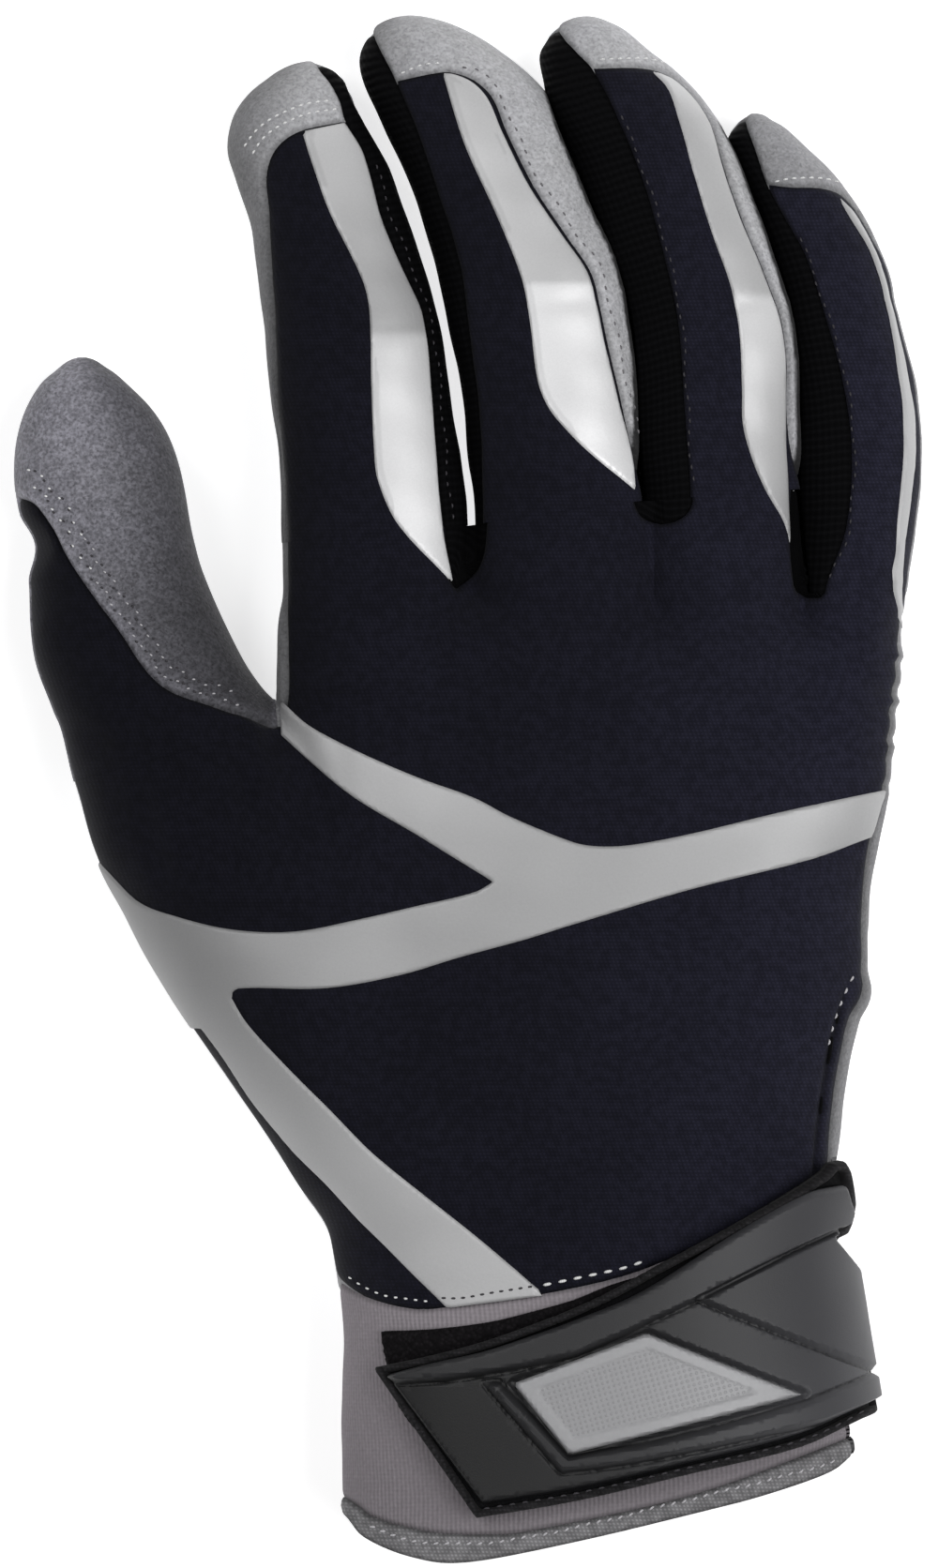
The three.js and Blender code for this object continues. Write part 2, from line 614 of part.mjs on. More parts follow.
const ventEdgeSpace = (grow) => prism(ventEdge, grow).intersect(between(handForm, VENT_TOP_SHARE, 1));

addCloth(
  "back_panel",
  without(handShell.intersect(backSpace(0)), [cuffSpace(SEAM_GAP), ventEdgeSpace(SEAM_GAP), belowCuff]),
);
addLeather(
  "palm_leather",
  without(handShell, [backSpace(SEAM_GAP), cuffSpace(SEAM_GAP), ventSpace, slitSpace, belowCuff]),
);
addCloth("vent_binding", foldedLayer.intersect(ventEdgeSpace(0)));
add("cuff", handShell.intersect(cuffSpace(0)).subtract(slitSpace), colours.knit, 0.9);
const bindingEnd = solid(new THREE.IcosahedronGeometry(BINDING_END, 1)).translate([
  ...place(...bindingEndPlace).toArray(),
  height(SLIT_TOP_SHARE) + BINDING_END,
]);
const fold = foldedLayer.intersect(hemSpace).subtract(slitSpace);
add("cuff_binding", fold.add(bindingEnd), colours.binding, 0.8);

const patchLayer = whole(SEAM_GAP + PATCH).subtract(whole(SEAM_GAP));
const patch = patchLayer.intersect(prism(heelPatch, 0, 0)).intersect(palmLevels(0));
add("heel_patch", patch, colours.leather, 0.7);
const bandFilm = handFilmLayer.intersect(prism(handFilm)).intersect(upper());
addFilm("hand_film", bandFilm.subtract(ventEdgeSpace(SEAM_GAP)));

// The strap's layers lie one above the other over the cuff.
const layer = (low, high) => tube(handForm, high).subtract(tube(handForm, low));
const loopLow = SEAM_GAP;
const hookLow = loopLow + LOOP_PAD + SEAM_GAP;
const baseLow = hookLow + HOOK_PAD + SEAM_GAP;
const coverLow = baseLow + STRAP_BASE + SEAM_GAP;
const strapLevels = between(handForm, STRAP_LOW_SHARE, 1);
const strapArea = (inset) => prism(strapOutline, -inset);
const withinEdging = strapArea(STRAP_EDGING + SEAM_GAP).intersect(strapLevels);
const loopSheet = layer(loopLow, loopLow + LOOP_PAD).intersect(backLevels(0));
add("loop_pad", loopSheet.intersect(prism(loopPad)), colours.pad, 1);
const hookSheet = layer(hookLow, hookLow + HOOK_PAD).intersect(strapLevels);
add("hook_pad", hookSheet.intersect(prism(hookPad)), colours.pad, 1);
add("strap_base", layer(baseLow, baseLow + STRAP_BASE).intersect(withinEdging), colours.strapCloth, 0.9);
const rim = strapArea(0).subtract(strapArea(STRAP_EDGING)).intersect(strapLevels);
add("strap_edging", layer(baseLow, coverLow + STRAP_COVER / 2).intersect(rim), colours.strapCloth, 0.8);
const ridges = joined([upperRidge, frameRidge, creaseRidge].map((outline) => prism(outline)));
const coverSheet = layer(coverLow, coverLow + STRAP_COVER);
const ridgeSheet = layer(coverLow, coverLow + STRAP_COVER + STRAP_RIDGE).intersect(ridges);
const cover = coverSheet.add(ridgeSheet).intersect(prism(coverOutline)).intersect(withinEdging);
add("strap_cover", cover.subtract(prism(inset, SEAM_GAP)), colours.strapCover, 0.55);
const insetSheet = layer(coverLow, coverLow + STRAP_COVER - INSET_DEPTH);
add("strap_inset", insetSheet.intersect(prism(inset)).intersect(withinEdging), colours.inset, 0.5);

// The origin is the middle of the underside of the glove's box.
const box = new THREE.Box3().setFromObject(group);
const boxMiddle = box.getCenter(new THREE.Vector3());
group.position.set(-boxMiddle.x, -boxMiddle.y, -box.min.z);

export default group;
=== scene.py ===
import json
import math

import bpy
import numpy as np
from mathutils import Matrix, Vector
from mathutils.bvhtree import BVHTree

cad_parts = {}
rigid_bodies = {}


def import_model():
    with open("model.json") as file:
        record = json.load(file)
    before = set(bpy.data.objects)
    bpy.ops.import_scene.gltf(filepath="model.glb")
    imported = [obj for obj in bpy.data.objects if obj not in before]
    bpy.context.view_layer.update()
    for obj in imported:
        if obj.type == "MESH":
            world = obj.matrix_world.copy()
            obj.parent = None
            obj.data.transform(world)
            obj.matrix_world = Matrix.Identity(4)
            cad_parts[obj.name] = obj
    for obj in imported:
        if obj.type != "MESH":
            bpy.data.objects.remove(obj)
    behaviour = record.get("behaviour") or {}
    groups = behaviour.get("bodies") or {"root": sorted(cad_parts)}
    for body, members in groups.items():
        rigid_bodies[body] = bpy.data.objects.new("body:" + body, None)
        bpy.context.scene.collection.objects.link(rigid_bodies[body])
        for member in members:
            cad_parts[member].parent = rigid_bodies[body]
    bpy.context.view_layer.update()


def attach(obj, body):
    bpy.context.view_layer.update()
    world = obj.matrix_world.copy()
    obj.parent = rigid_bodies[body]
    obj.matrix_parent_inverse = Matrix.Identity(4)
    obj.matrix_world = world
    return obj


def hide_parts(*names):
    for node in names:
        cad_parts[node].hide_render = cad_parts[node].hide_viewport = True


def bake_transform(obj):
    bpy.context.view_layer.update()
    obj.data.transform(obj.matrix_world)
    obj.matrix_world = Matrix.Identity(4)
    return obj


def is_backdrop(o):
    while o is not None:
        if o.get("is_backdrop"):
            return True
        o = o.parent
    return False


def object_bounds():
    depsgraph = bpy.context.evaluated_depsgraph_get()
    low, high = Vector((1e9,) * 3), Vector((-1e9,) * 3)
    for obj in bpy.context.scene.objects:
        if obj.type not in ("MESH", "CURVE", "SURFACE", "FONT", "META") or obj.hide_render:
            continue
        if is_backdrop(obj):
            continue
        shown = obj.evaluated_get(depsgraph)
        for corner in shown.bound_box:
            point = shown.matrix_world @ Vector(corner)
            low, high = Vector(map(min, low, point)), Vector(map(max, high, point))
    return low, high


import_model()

# Lengths are in millimetres until a mesh is handed to Blender. Outlines are in the picture's pixels.
M = 0.001
DEPTH = 38.0
MM_PER_PX = 240 / 1648
MIDDLE_PX = np.array([498.0, 841.0])
SHIFT = np.array([-0.0728, -0.0583])
WIDEST_SHARE = 0.45
BACK_POWER, PALM_POWER = 2.3, 2.7
WALL = 1.2


def place(points):
    """Picture pixels to millimetres in the plan of the glove."""
    p = np.asarray(points, float).reshape(-1, 2)
    return (p - MIDDLE_PX) * [MM_PER_PX, -MM_PER_PX] + SHIFT


# The forms

# Ribs from the wrist end to the tip: left x y, right x y, underside and top as shares of DEPTH.
HAND = [
    [365, 1720, 915, 1660, 0.035, 0.98], [365, 1590, 914, 1570, 0.035, 0.98],
    [365, 1490, 900, 1485, 0.035, 0.98], [364, 1400, 886, 1400, 0.035, 0.97],
    [350, 1310, 876, 1320, 0.035, 0.97], [318, 1235, 889, 1240, 0.035, 0.98],
    [306, 1150, 902, 1150, 0.045, 0.99], [302, 1050, 922, 1050, 0.08, 1], [300, 950, 927, 945, 0.12, 1],
    [300, 850, 944, 840, 0.16, 0.97], [303, 745, 951, 745, 0.2, 0.92], [308, 670, 950, 690, 0.25, 0.86],
    [330, 620, 922, 650, 0.4, 0.66],
]
THUMB = [
    [420, 1330, 570, 1290, 0.1, 0.8], [335, 1270, 540, 1215, 0.06, 0.88],
    [270, 1187, 510, 1115, 0.05, 0.92], [198, 1083, 470, 1005, 0.05, 0.93], [143, 990, 425, 910, 0.05, 0.9],
    [106, 915, 370, 845, 0.04, 0.86], [84, 845, 316, 782, 0.03, 0.8], [62, 767, 262, 712, 0.02, 0.73],
    [36, 690, 224, 640, 0.01, 0.67], [31, 615, 203, 575, 0, 0.61], [24, 560, 194, 525, 0, 0.57],
    [15, 505, 181, 477, 0.01, 0.53], [22, 450, 157, 435, 0.03, 0.48], [42, 412, 127, 404, 0.07, 0.42],
    [62, 394, 106, 390, 0.13, 0.34],
]
INDEX = [
    [306, 740, 510, 720, 0.22, 0.86], [301, 560, 500, 540, 0.21, 0.82], [298, 480, 489, 461, 0.2, 0.79],
    [288, 400, 477, 382, 0.18, 0.76], [280, 320, 460, 302, 0.15, 0.72], [271, 245, 435, 228, 0.1, 0.66],
    [253, 190, 414, 172, 0.05, 0.59], [244, 158, 400, 142, 0.02, 0.54], [249, 126, 389, 113, 0, 0.49],
    [267, 99, 374, 89, 0.03, 0.43], [291, 79, 358, 73, 0.08, 0.36],
]
MIDDLE = [
    [492, 740, 715, 710, 0.22, 0.9], [504, 560, 704, 530, 0.21, 0.86], [497, 490, 690, 455, 0.2, 0.83],
    [489, 415, 682, 372, 0.18, 0.79], [475, 340, 667, 290, 0.15, 0.75], [456, 262, 632, 206, 0.11, 0.7],
    [434, 192, 602, 132, 0.06, 0.63], [408, 137, 567, 82, 0.02, 0.56], [388, 96, 530, 52, 0, 0.5],
    [381, 64, 501, 34, 0.02, 0.45], [388, 42, 478, 24, 0.06, 0.4], [404, 27, 458, 19, 0.12, 0.33],
]
RING = [
    [684, 740, 862, 712, 0.22, 0.88], [676, 545, 856, 520, 0.2, 0.83], [668, 480, 856, 442, 0.19, 0.8],
    [664, 400, 852, 346, 0.17, 0.77], [655, 315, 825, 260, 0.14, 0.73], [630, 245, 796, 192, 0.1, 0.67],
    [605, 175, 763, 124, 0.06, 0.6], [586, 127, 727, 82, 0.02, 0.54], [578, 88, 691, 54, 0, 0.48],
    [573, 57, 664, 32, 0.02, 0.43], [583, 36, 643, 21, 0.07, 0.37],
]
LITTLE = [
    [852, 980, 905, 975, 0.36, 0.6], [850, 860, 924, 855, 0.29, 0.7], [846, 740, 946, 735, 0.22, 0.8],
    [845, 585, 974, 578, 0.19, 0.76], [842, 505, 982, 492, 0.18, 0.72], [842, 432, 976, 412, 0.16, 0.69],
    [836, 370, 960, 345, 0.13, 0.65], [825, 312, 943, 281, 0.09, 0.61], [809, 258, 920, 228, 0.05, 0.55],
    [793, 205, 889, 185, 0.02, 0.5], [779, 168, 859, 156, 0, 0.45], [775, 146, 837, 136, 0.03, 0.4],
    [784, 131, 822, 127, 0.08, 0.34],
]
RIB_STEPS = 7
TIP_SHARES = (0.15, 0.35, 0.55, 0.72, 0.86, 0.95, 0.99)
CHUNK = 20000  # how many plan points are worked out at a time
THUMB_SOFT, FINGER_SOFT = 6, 5  # how softly the thumb and the fingers run into the hand, in millimetres
WEB_SHARPER = 4  # how much less soft the thumb's web is


def catmull(rows, steps):
    """A smooth line through rows of numbers, with steps stretches between two rows."""
    r = np.asarray(rows, float)
    p = np.vstack([2 * r[0] - r[1], r, 2 * r[-1] - r[-2]])
    t = (np.arange(steps) / steps)[:, None]
    parts = []
    for a, b, c, d in zip(p, p[1:], p[2:], p[3:]):
        parts.append(
            0.5 * (2 * b + (c - a) * t + (2 * a - 5 * b + 4 * c - d) * t**2 + (3 * b - a - 3 * c + d) * t**3)
        )
    return np.vstack([*parts, r[-1:]])


class Tube:
    """A tube that lies along the floor. A plan point knows where it is across and along the tube."""

    def __init__(self, ribs, tip=None):
        ribs = np.array(ribs, float)
        left, right = place(ribs[:, :2]), place(ribs[:, 2:4])
        table = catmull(np.hstack([(left + right) / 2, right - left, ribs[:, 4:] * DEPTH]), RIB_STEPS)
        if tip:
            end, level, last = place(tip[:2])[0], tip[2] * DEPTH, table[-1]
            for share in TIP_SHARES:
                k = math.sqrt(1 - share)
                centre = last[:2] + (end - last[:2]) * share
                table = np.vstack([table, [*centre, *(last[2:4] * k), *(level + (last[4:] - level) * k)]])
        self.centre = table[:, :2]
        width = np.linalg.norm(table[:, 2:4], axis=1)
        self.across = table[:, 2:4] / width[:, None]
        self.forward = np.column_stack([-self.across[:, 1], self.across[:, 0]])
        low, high = table[:, 4], table[:, 5]
        along = np.concatenate([[0], np.cumsum(np.linalg.norm(np.diff(self.centre, axis=0), axis=1))])
        self.facts = np.column_stack([width / 2, low, low + WIDEST_SHARE * (high - low), high, along])

    def columns(self, p):
        """For plan points: distance across, half width, low, widest and high level, along, past the ends."""
        out = np.empty((len(p), 7))
        for start in range(0, len(p), CHUNK):
            q = p[start : start + CHUNK]
            ahead = np.einsum("nmk,mk->nm", q[:, None] - self.centre, self.forward)
            behind = ahead < 0
            j = np.where(behind.any(1), behind.argmax(1), ahead.shape[1]) - 1
            past = np.maximum(np.where(j < 0, -ahead[:, 0], 0), np.where(behind.any(1), 0, ahead[:, -1]))
            j = np.clip(j, 0, ahead.shape[1] - 2)
            rows = np.arange(len(q))
            a, b = ahead[rows, j], ahead[rows, j + 1]
            t = np.clip(a / np.where(np.abs(a - b) < 1e-9, 1, a - b), 0, 1)[:, None]

            def mix(values):
                return values[j] * (1 - t) + values[j + 1] * t

            s = np.sum((q - mix(self.centre)) * mix(self.across), axis=1)
            out[start : start + len(q)] = np.column_stack([s, mix(self.facts), past])
        return out


def tube_field(c, z):
    """Roughly the distance to a tube's skin, below 0 inside. c is columns() with a last axis of 7."""
    s, half, low, wide, high, past = (c[..., i] for i in (0, 1, 2, 3, 4, 6))
    up = z > wide
    rise = np.maximum(np.where(up, high - wide, wide - low), 0.05)
    power = np.where(up, BACK_POWER, PALM_POWER)
    r = ((np.abs(s) / half) ** power + (np.abs(z - wide) / rise) ** power) ** (1 / power) + 1e-6
    f = np.hypot(s, z - wide) * (1 - 1 / r)
    return np.where(past > 0, np.hypot(np.maximum(f, 0), past), f)


def soft_min(a, b, k):
    """The lesser of two fields, rounded where they differ by less than k."""
    h = np.maximum(k - np.abs(a - b), 0) / k
    return np.minimum(a, b) - h * h * k / 4


tubes = {
    "hand": Tube(HAND),
    "thumb": Tube(THUMB, (84, 383, 0.24)),
    "index": Tube(INDEX, (326, 65, 0.22)),
    "middle": Tube(MIDDLE, (429, 18, 0.22)),
    "ring": Tube(RING, (613, 18, 0.21)),
    "little": Tube(LITTLE, (804, 120, 0.21)),
}
FINGERS = ("index", "middle", "ring", "little")


def like(values, z):
    """Values of plan points, with an axis put in for each one that the levels z have past their first."""
    return values.reshape(len(values), *([1] * (z.ndim - 1)), *values.shape[1:])


def hand_field(p, z):
    """The hand's own tube, for what lies on the cuff."""
    return tube_field(like(tubes["hand"].columns(p), z), z)


def glove_field(p, z, chosen=FINGERS):
    """The whole glove: tubes run smoothly into the hand, and fingers meet in creases.

    p is (N, 2) and z is (N, ...).
    """

    def tube(name):
        return tube_field(like(tubes[name].columns(p), z), z)

    web = like(THUMB_SOFT - WEB_SHARPER * bump_at(p, (292, 735), 13), z)
    body = soft_min(tube("hand"), tube("thumb"), web)
    fingers = tube(chosen[0])
    for name in chosen[1:]:
        fingers = np.minimum(fingers, tube(name))
    return soft_min(body, fingers, FINGER_SOFT)


# Outlines


def smooth_outline(points, corner=38, steps=5):
    """A closed outline in millimetres, curved through its points except at sharp corners."""
    p = place(points)
    n = len(p)
    enter = p - np.roll(p, 1, axis=0)
    leave = np.roll(p, -1, axis=0) - p
    turn = np.degrees(
        np.abs(np.angle((leave[:, 0] + 1j * leave[:, 1]) / (enter[:, 0] + 1j * enter[:, 1] + 1e-12)))
    )
    out = []
    for i in range(n):
        j = (i + 1) % n
        length = np.linalg.norm(p[j] - p[i])

        def tangent(k, own):
            if turn[k] > corner:
                return own
            d = p[(k + 1) % n] - p[k - 1]
            return d / (np.linalg.norm(d) + 1e-12) * length

        m0, m1 = tangent(i, p[j] - p[i]), tangent(j, p[j] - p[i])
        for t in np.arange(steps) / steps:
            out.append(
                (2 * t**3 - 3 * t**2 + 1) * p[i]
                + (t**3 - 2 * t**2 + t) * m0
                + (-2 * t**3 + 3 * t**2) * p[j]
                + (t**3 - t**2) * m1
            )
    return np.array(out)


def outline_field(p, outline):
    """Signed distance of plan points to a closed outline in millimetres, above 0 inside."""
    a, b = outline, np.roll(outline, -1, axis=0)
    best = np.full(len(p), 1e9)
    inside = np.zeros(len(p), bool)
    for (ax, ay), (bx, by) in zip(a, b):
        dx, dy = bx - ax, by - ay
        t = np.clip(((p[:, 0] - ax) * dx + (p[:, 1] - ay) * dy) / (dx * dx + dy * dy + 1e-12), 0, 1)
        best = np.minimum(best, (p[:, 0] - ax - t * dx) ** 2 + (p[:, 1] - ay - t * dy) ** 2)
        if ay != by:
            crosses = ((ay > p[:, 1]) != (by > p[:, 1])) & (p[:, 0] < ax + (p[:, 1] - ay) / (by - ay) * dx)
            inside ^= crosses
    return np.where(inside, 1, -1) * np.sqrt(best)


def near(p, outline, reach=6.0):
    """outline_field, worked out only near the outline's own box, and far below 0 elsewhere."""
    low, high = outline.min(0) - reach, outline.max(0) + reach
    close = ((p > low) & (p < high)).all(1)
    out = np.full(len(p), -float(reach))
    out[close] = np.maximum(outline_field(p[close], outline), -reach)
    return out


TO_MIDDLE = [
    [502, 560], [496, 520], [491, 480], [484, 430], [478, 380], [464, 310], [447, 250], [426, 195],
    [402, 150], [380, 110], [369, 80], [365, 0],
]
TO_RING = [
    [681, 535], [677, 495], [675, 435], [674, 396], [670, 356], [663, 313], [651, 273], [632, 230],
    [613, 186], [592, 135], [579, 95], [566, 62], [545, 0],
]
TO_LITTLE = [
    [849, 522], [849, 450], [847, 385], [838, 322], [820, 266], [798, 205], [782, 162], [771, 140],
    [757, 100], [750, 0],
]
THUMB_TO_INDEX = [[290, 700], [268, 600], [225, 400], [205, 300]]
PAST = 60  # how far a finger's area is stretched past its root, in pixels


def lowered(point):
    return [point[0], point[1] + PAST]


areas = {
    "index": [lowered([285, 580]), lowered(TO_MIDDLE[0]), *TO_MIDDLE, [-80, -60], [225, 400]],
    "middle": [*TO_MIDDLE[::-1], lowered(TO_MIDDLE[0]), lowered(TO_RING[0]), *TO_RING],
    "ring": [*TO_RING[::-1], lowered(TO_RING[0]), lowered(TO_LITTLE[0]), *TO_LITTLE],
    "little": [*TO_LITTLE[::-1], [858, 633], lowered([858, 633]), lowered([1080, 628]), [1080, -60]],
}
ROOTS = {
    "index": ([285, 580], [502, 560]),
    "middle": ([502, 560], [681, 535]),
    "ring": ([681, 535], [849, 522]),
    "little": ([858, 633], [1080, 628]),
    "thumb": ([-80, 876], [296, 775]),
}
HAND_AREA = [
    [-80, 876], [296, 775], [290, 700], [285, 580], [502, 560], [681, 535], [849, 522], [858, 633],
    [1080, 628], [1080, 1760], [-80, 1760],
]


# Meshes


class Skin:
    """A triangle mesh with named numbers at its points. Cutting it along a level keeps it whole."""

    SNAP = 0.03

    def __init__(self, points, triangles):
        self.v, self.t, self.f = points, triangles, {}
        self.n = None

    def copy(self):
        other = Skin(self.v.copy(), self.t.copy())
        other.n = self.n.copy()
        other.f = {k: a.copy() for k, a in self.f.items()}
        return other

    def cut(self, name, level=0.0):
        """Splits the triangles that a level of a field runs through."""
        d = self.f[name] - level
        d[np.abs(d) < self.SNAP] = 0
        self.f[name] = d + level
        sign = np.sign(d)[self.t]
        crossing = (sign.min(1) < 0) & (sign.max(1) > 0)
        split, kept = self.t[crossing], self.t[~crossing]
        if not len(split):
            return
        sign = sign[crossing]
        zero = sign == 0
        lonely = np.where(
            zero.any(1),
            zero.argmax(1),
            (sign * np.sign(sign.sum(1))[:, None] < 0).argmax(1),
        )
        turned = np.take_along_axis(split, (lonely[:, None] + np.arange(3)) % 3, axis=1)
        through = zero.any(1)
        one, two = turned[through], turned[~through]
        edges = np.vstack([one[:, [1, 2]], two[:, [0, 1]], two[:, [0, 2]]])
        key, inverse = np.unique(np.sort(edges, axis=1), axis=0, return_inverse=True)
        inverse = inverse.reshape(-1) + len(self.v)
        a, b = key[:, 0], key[:, 1]
        w = d[a] / (d[a] - d[b])

        def extended(values):
            share = w if values.ndim == 1 else w[:, None]
            return np.concatenate([values, values[a] * (1 - share) + values[b] * share])

        self.v = extended(self.v)
        self.n = extended(self.n)
        self.f = {k: extended(x) for k, x in self.f.items()}
        self.f[name][len(self.f[name]) - len(key) :] = level
        k1, k2 = len(one), len(two)
        p, q, r = inverse[:k1], inverse[k1 : k1 + k2], inverse[k1 + k2 :]
        self.t = np.vstack([
            kept,
            np.column_stack([one[:, 0], one[:, 1], p]),
            np.column_stack([one[:, 0], p, one[:, 2]]),
            np.column_stack([two[:, 0], q, r]),
            np.column_stack([q, two[:, 1], two[:, 2]]),
            np.column_stack([q, two[:, 2], r]),
        ])

    def middle(self, name):
        """The mean of a field over each triangle, which says on which side of its cuts a triangle is."""
        return self.f[name][self.t].mean(1)

    def only(self, mask):
        """The part of the mesh whose triangles are chosen."""
        t = self.t[mask]
        used, inverse = np.unique(t, return_inverse=True)
        other = Skin(self.v[used], inverse.reshape(-1, 3))
        other.n = self.n[used]
        other.f = {k: a[used] for k, a in self.f.items()}
        return other


def point_normals(v, t):
    face = np.cross(v[t[:, 1]] - v[t[:, 0]], v[t[:, 2]] - v[t[:, 0]])
    n = np.zeros_like(v)
    for k in range(3):
        for axis in range(3):
            n[:, axis] += np.bincount(t[:, k], weights=face[:, axis], minlength=len(v))
    return n / np.maximum(np.linalg.norm(n, axis=1, keepdims=True), 1e-12)


def gradient(field, v, step=0.05):
    out = np.empty_like(v)
    for axis in range(3):
        a, b = v.copy(), v.copy()
        a[:, axis] -= step
        b[:, axis] += step
        out[:, axis] = (field(b[:, :2], b[:, 2]) - field(a[:, :2], a[:, 2])) / (2 * step)
    return out


CORNERS = np.array([(x, y, z) for z in (0, 1) for y in (0, 1) for x in (0, 1)])
CELL_EDGES = [
    (a, b) for a in range(8) for b in range(a + 1, 8) if np.abs(CORNERS[a] - CORNERS[b]).sum() == 1
]
RELAX_ROUNDS = 3


def meshed(field, low, high, pitch):
    """The skin of a field as an even mesh, pulled onto the field's own surface."""
    axes = [np.arange(a, b + pitch, pitch) for a, b in zip(low, high)]
    gx, gy = np.meshgrid(axes[0], axes[1], indexing="ij")
    plan = np.column_stack([gx.ravel(), gy.ravel()])
    levels = np.broadcast_to(axes[2], (len(plan), len(axes[2])))
    f = field(plan, levels).reshape(len(axes[0]), len(axes[1]), len(axes[2]))
    size = [n - 1 for n in f.shape]

    def corner(k):
        i, j, m = CORNERS[k]
        return f[i : i + size[0], j : j + size[1], m : m + size[2]]

    total = np.zeros((*size, 3))
    count = np.zeros(size)
    for a, b in CELL_EDGES:
        fa, fb = corner(a), corner(b)
        crossed = (fa < 0) != (fb < 0)
        t = np.where(crossed, fa / np.where(crossed, fa - fb, 1), 0)
        for axis in range(3):
            at = CORNERS[a][axis] + t * (CORNERS[b][axis] - CORNERS[a][axis])
            total[..., axis] += np.where(crossed, at, 0)
        count += crossed
    cells = np.argwhere(count > 0)
    index = np.full(size, -1)
    found = tuple(cells.T)
    index[found] = np.arange(len(cells))
    v = (cells + total[found] / count[found][:, None]) * pitch + np.array([a[0] for a in axes])
    inside = f < 0
    quads = []
    for axis in range(3):
        u, w = (axis + 1) % 3, (axis + 2) % 3
        at = [slice(1, -1)] * 3
        at[axis] = slice(0, -1)
        to = list(at)
        to[axis] = slice(1, None)
        a, b = inside[tuple(at)], inside[tuple(to)]
        base = np.argwhere(a != b)
        outward = a[tuple(base.T)]
        base[:, u] += 1
        base[:, w] += 1
        corners = []
        for du, dw in ((1, 1), (0, 1), (0, 0), (1, 0)):
            cell = base.copy()
            cell[:, u] -= du
            cell[:, w] -= dw
            corners.append(index[tuple(cell.T)])
        q = np.column_stack(corners)
        q[~outward] = q[~outward][:, ::-1]
        quads.append(q)
    quads = np.vstack(quads)
    quads = quads[(quads >= 0).all(1)]
    sides = np.vstack([quads[:, [k, (k + 1) % 4]] for k in range(4)])
    edges = np.unique(np.sort(sides, axis=1), axis=0)
    degree = np.bincount(edges.ravel(), minlength=len(v))[:, None]

    def onto_skin(points):
        for _ in range(2):
            g = gradient(field, points)
            value = field(points[:, :2], points[:, 2])
            step = value[:, None] * g / np.maximum((g * g).sum(1), 0.05)[:, None]
            longest = np.maximum(np.linalg.norm(step, axis=1), 1e-9)[:, None]
            points = points - step * np.minimum(1, pitch / longest)
        return points

    for _ in range(RELAX_ROUNDS):
        total = np.zeros_like(v)
        for axis in range(3):
            for a, b in ((0, 1), (1, 0)):
                total[:, axis] += np.bincount(edges[:, a], weights=v[edges[:, b], axis], minlength=len(v))
        v = v + 0.5 * (total / np.maximum(degree, 1) - v)
    v = onto_skin(v)
    d1 = np.linalg.norm(v[quads[:, 0]] - v[quads[:, 2]], axis=1)
    d2 = np.linalg.norm(v[quads[:, 1]] - v[quads[:, 3]], axis=1)
    straight, other = quads[d1 <= d2], quads[d1 > d2]
    t = np.vstack([straight[:, [0, 1, 2]], straight[:, [0, 2, 3]], other[:, [0, 1, 3]], other[:, [1, 2, 3]]])
    skin = Skin(v, t)
    skin.n = point_normals(v, t)
    return skin


# Panels, as outlines in the picture's pixels

# Where the back and the gusset of a finger meet.
INDEX_SIDE = [
    [370, 127], [391, 166], [411, 239], [441, 305], [453, 336], [461, 393], [467, 468], [475, 567],
    [480, 640],
]
MIDDLE_SIDE = [
    [512, 640], [512, 560], [508, 440], [500, 370], [490, 290], [470, 220], [447, 150], [421, 86],
]
BACKS = {
    "index": [
        [305, 640], [303, 560], [299, 480], [295, 430], [286, 232], [282, 190], [292, 159], [318, 139],
        *INDEX_SIDE,
    ],
    "middle": [
        *MIDDLE_SIDE,
        [468, 76], [484, 76], [507, 84], [525, 102], [540, 139], [570, 199], [606, 252], [633, 295],
        [649, 362], [663, 423], [676, 480], [681, 500], [692, 545], [700, 640],
    ],
    "ring": [
        [730, 640], [730, 520], [724, 430], [717, 340], [702, 270], [683, 200], [656, 130], [631, 72],
        [689, 71], [719, 81], [745, 104], [762, 133], [772, 172], [792, 232], [818, 292], [832, 332],
        [840, 381], [841, 440], [844, 475], [852, 508], [862, 540], [870, 640],
    ],
    "little": [
        [867, 740], [872, 632], [896, 564], [902, 476], [891, 400], [871, 328], [852, 271], [832, 237],
        [809, 196], [845, 199], [878, 199], [901, 206], [921, 229], [940, 262], [960, 285], [1000, 300],
        [1060, 300], [1060, 740],
    ],
}
GUSSETS = {
    "index": [
        *INDEX_SIDE[::-1],
        [364, 106], [353, 86], [338, 66], [338, 40], [420, 60], [520, 300], [530, 640],
    ],
    "middle": [
        [480, 640],
        *MIDDLE_SIDE,
        [396, 31], [396, 0], [340, 0], [340, 100], [440, 400],
    ],
    "ring": [
        [660, 640], [736, 640], [734, 520], [728, 430], [721, 340], [706, 270], [687, 200], [660, 130],
        [631, 72], [613, 53], [594, 28], [594, 0], [550, 0], [550, 100], [640, 400],
    ],
    "little": [
        [810, 740], [872, 740], [877, 632], [901, 564], [907, 476], [896, 400], [876, 328], [857, 271],
        [838, 237], [818, 200], [803, 153], [795, 128], [790, 90], [740, 90], [740, 150], [800, 400],
    ],
}
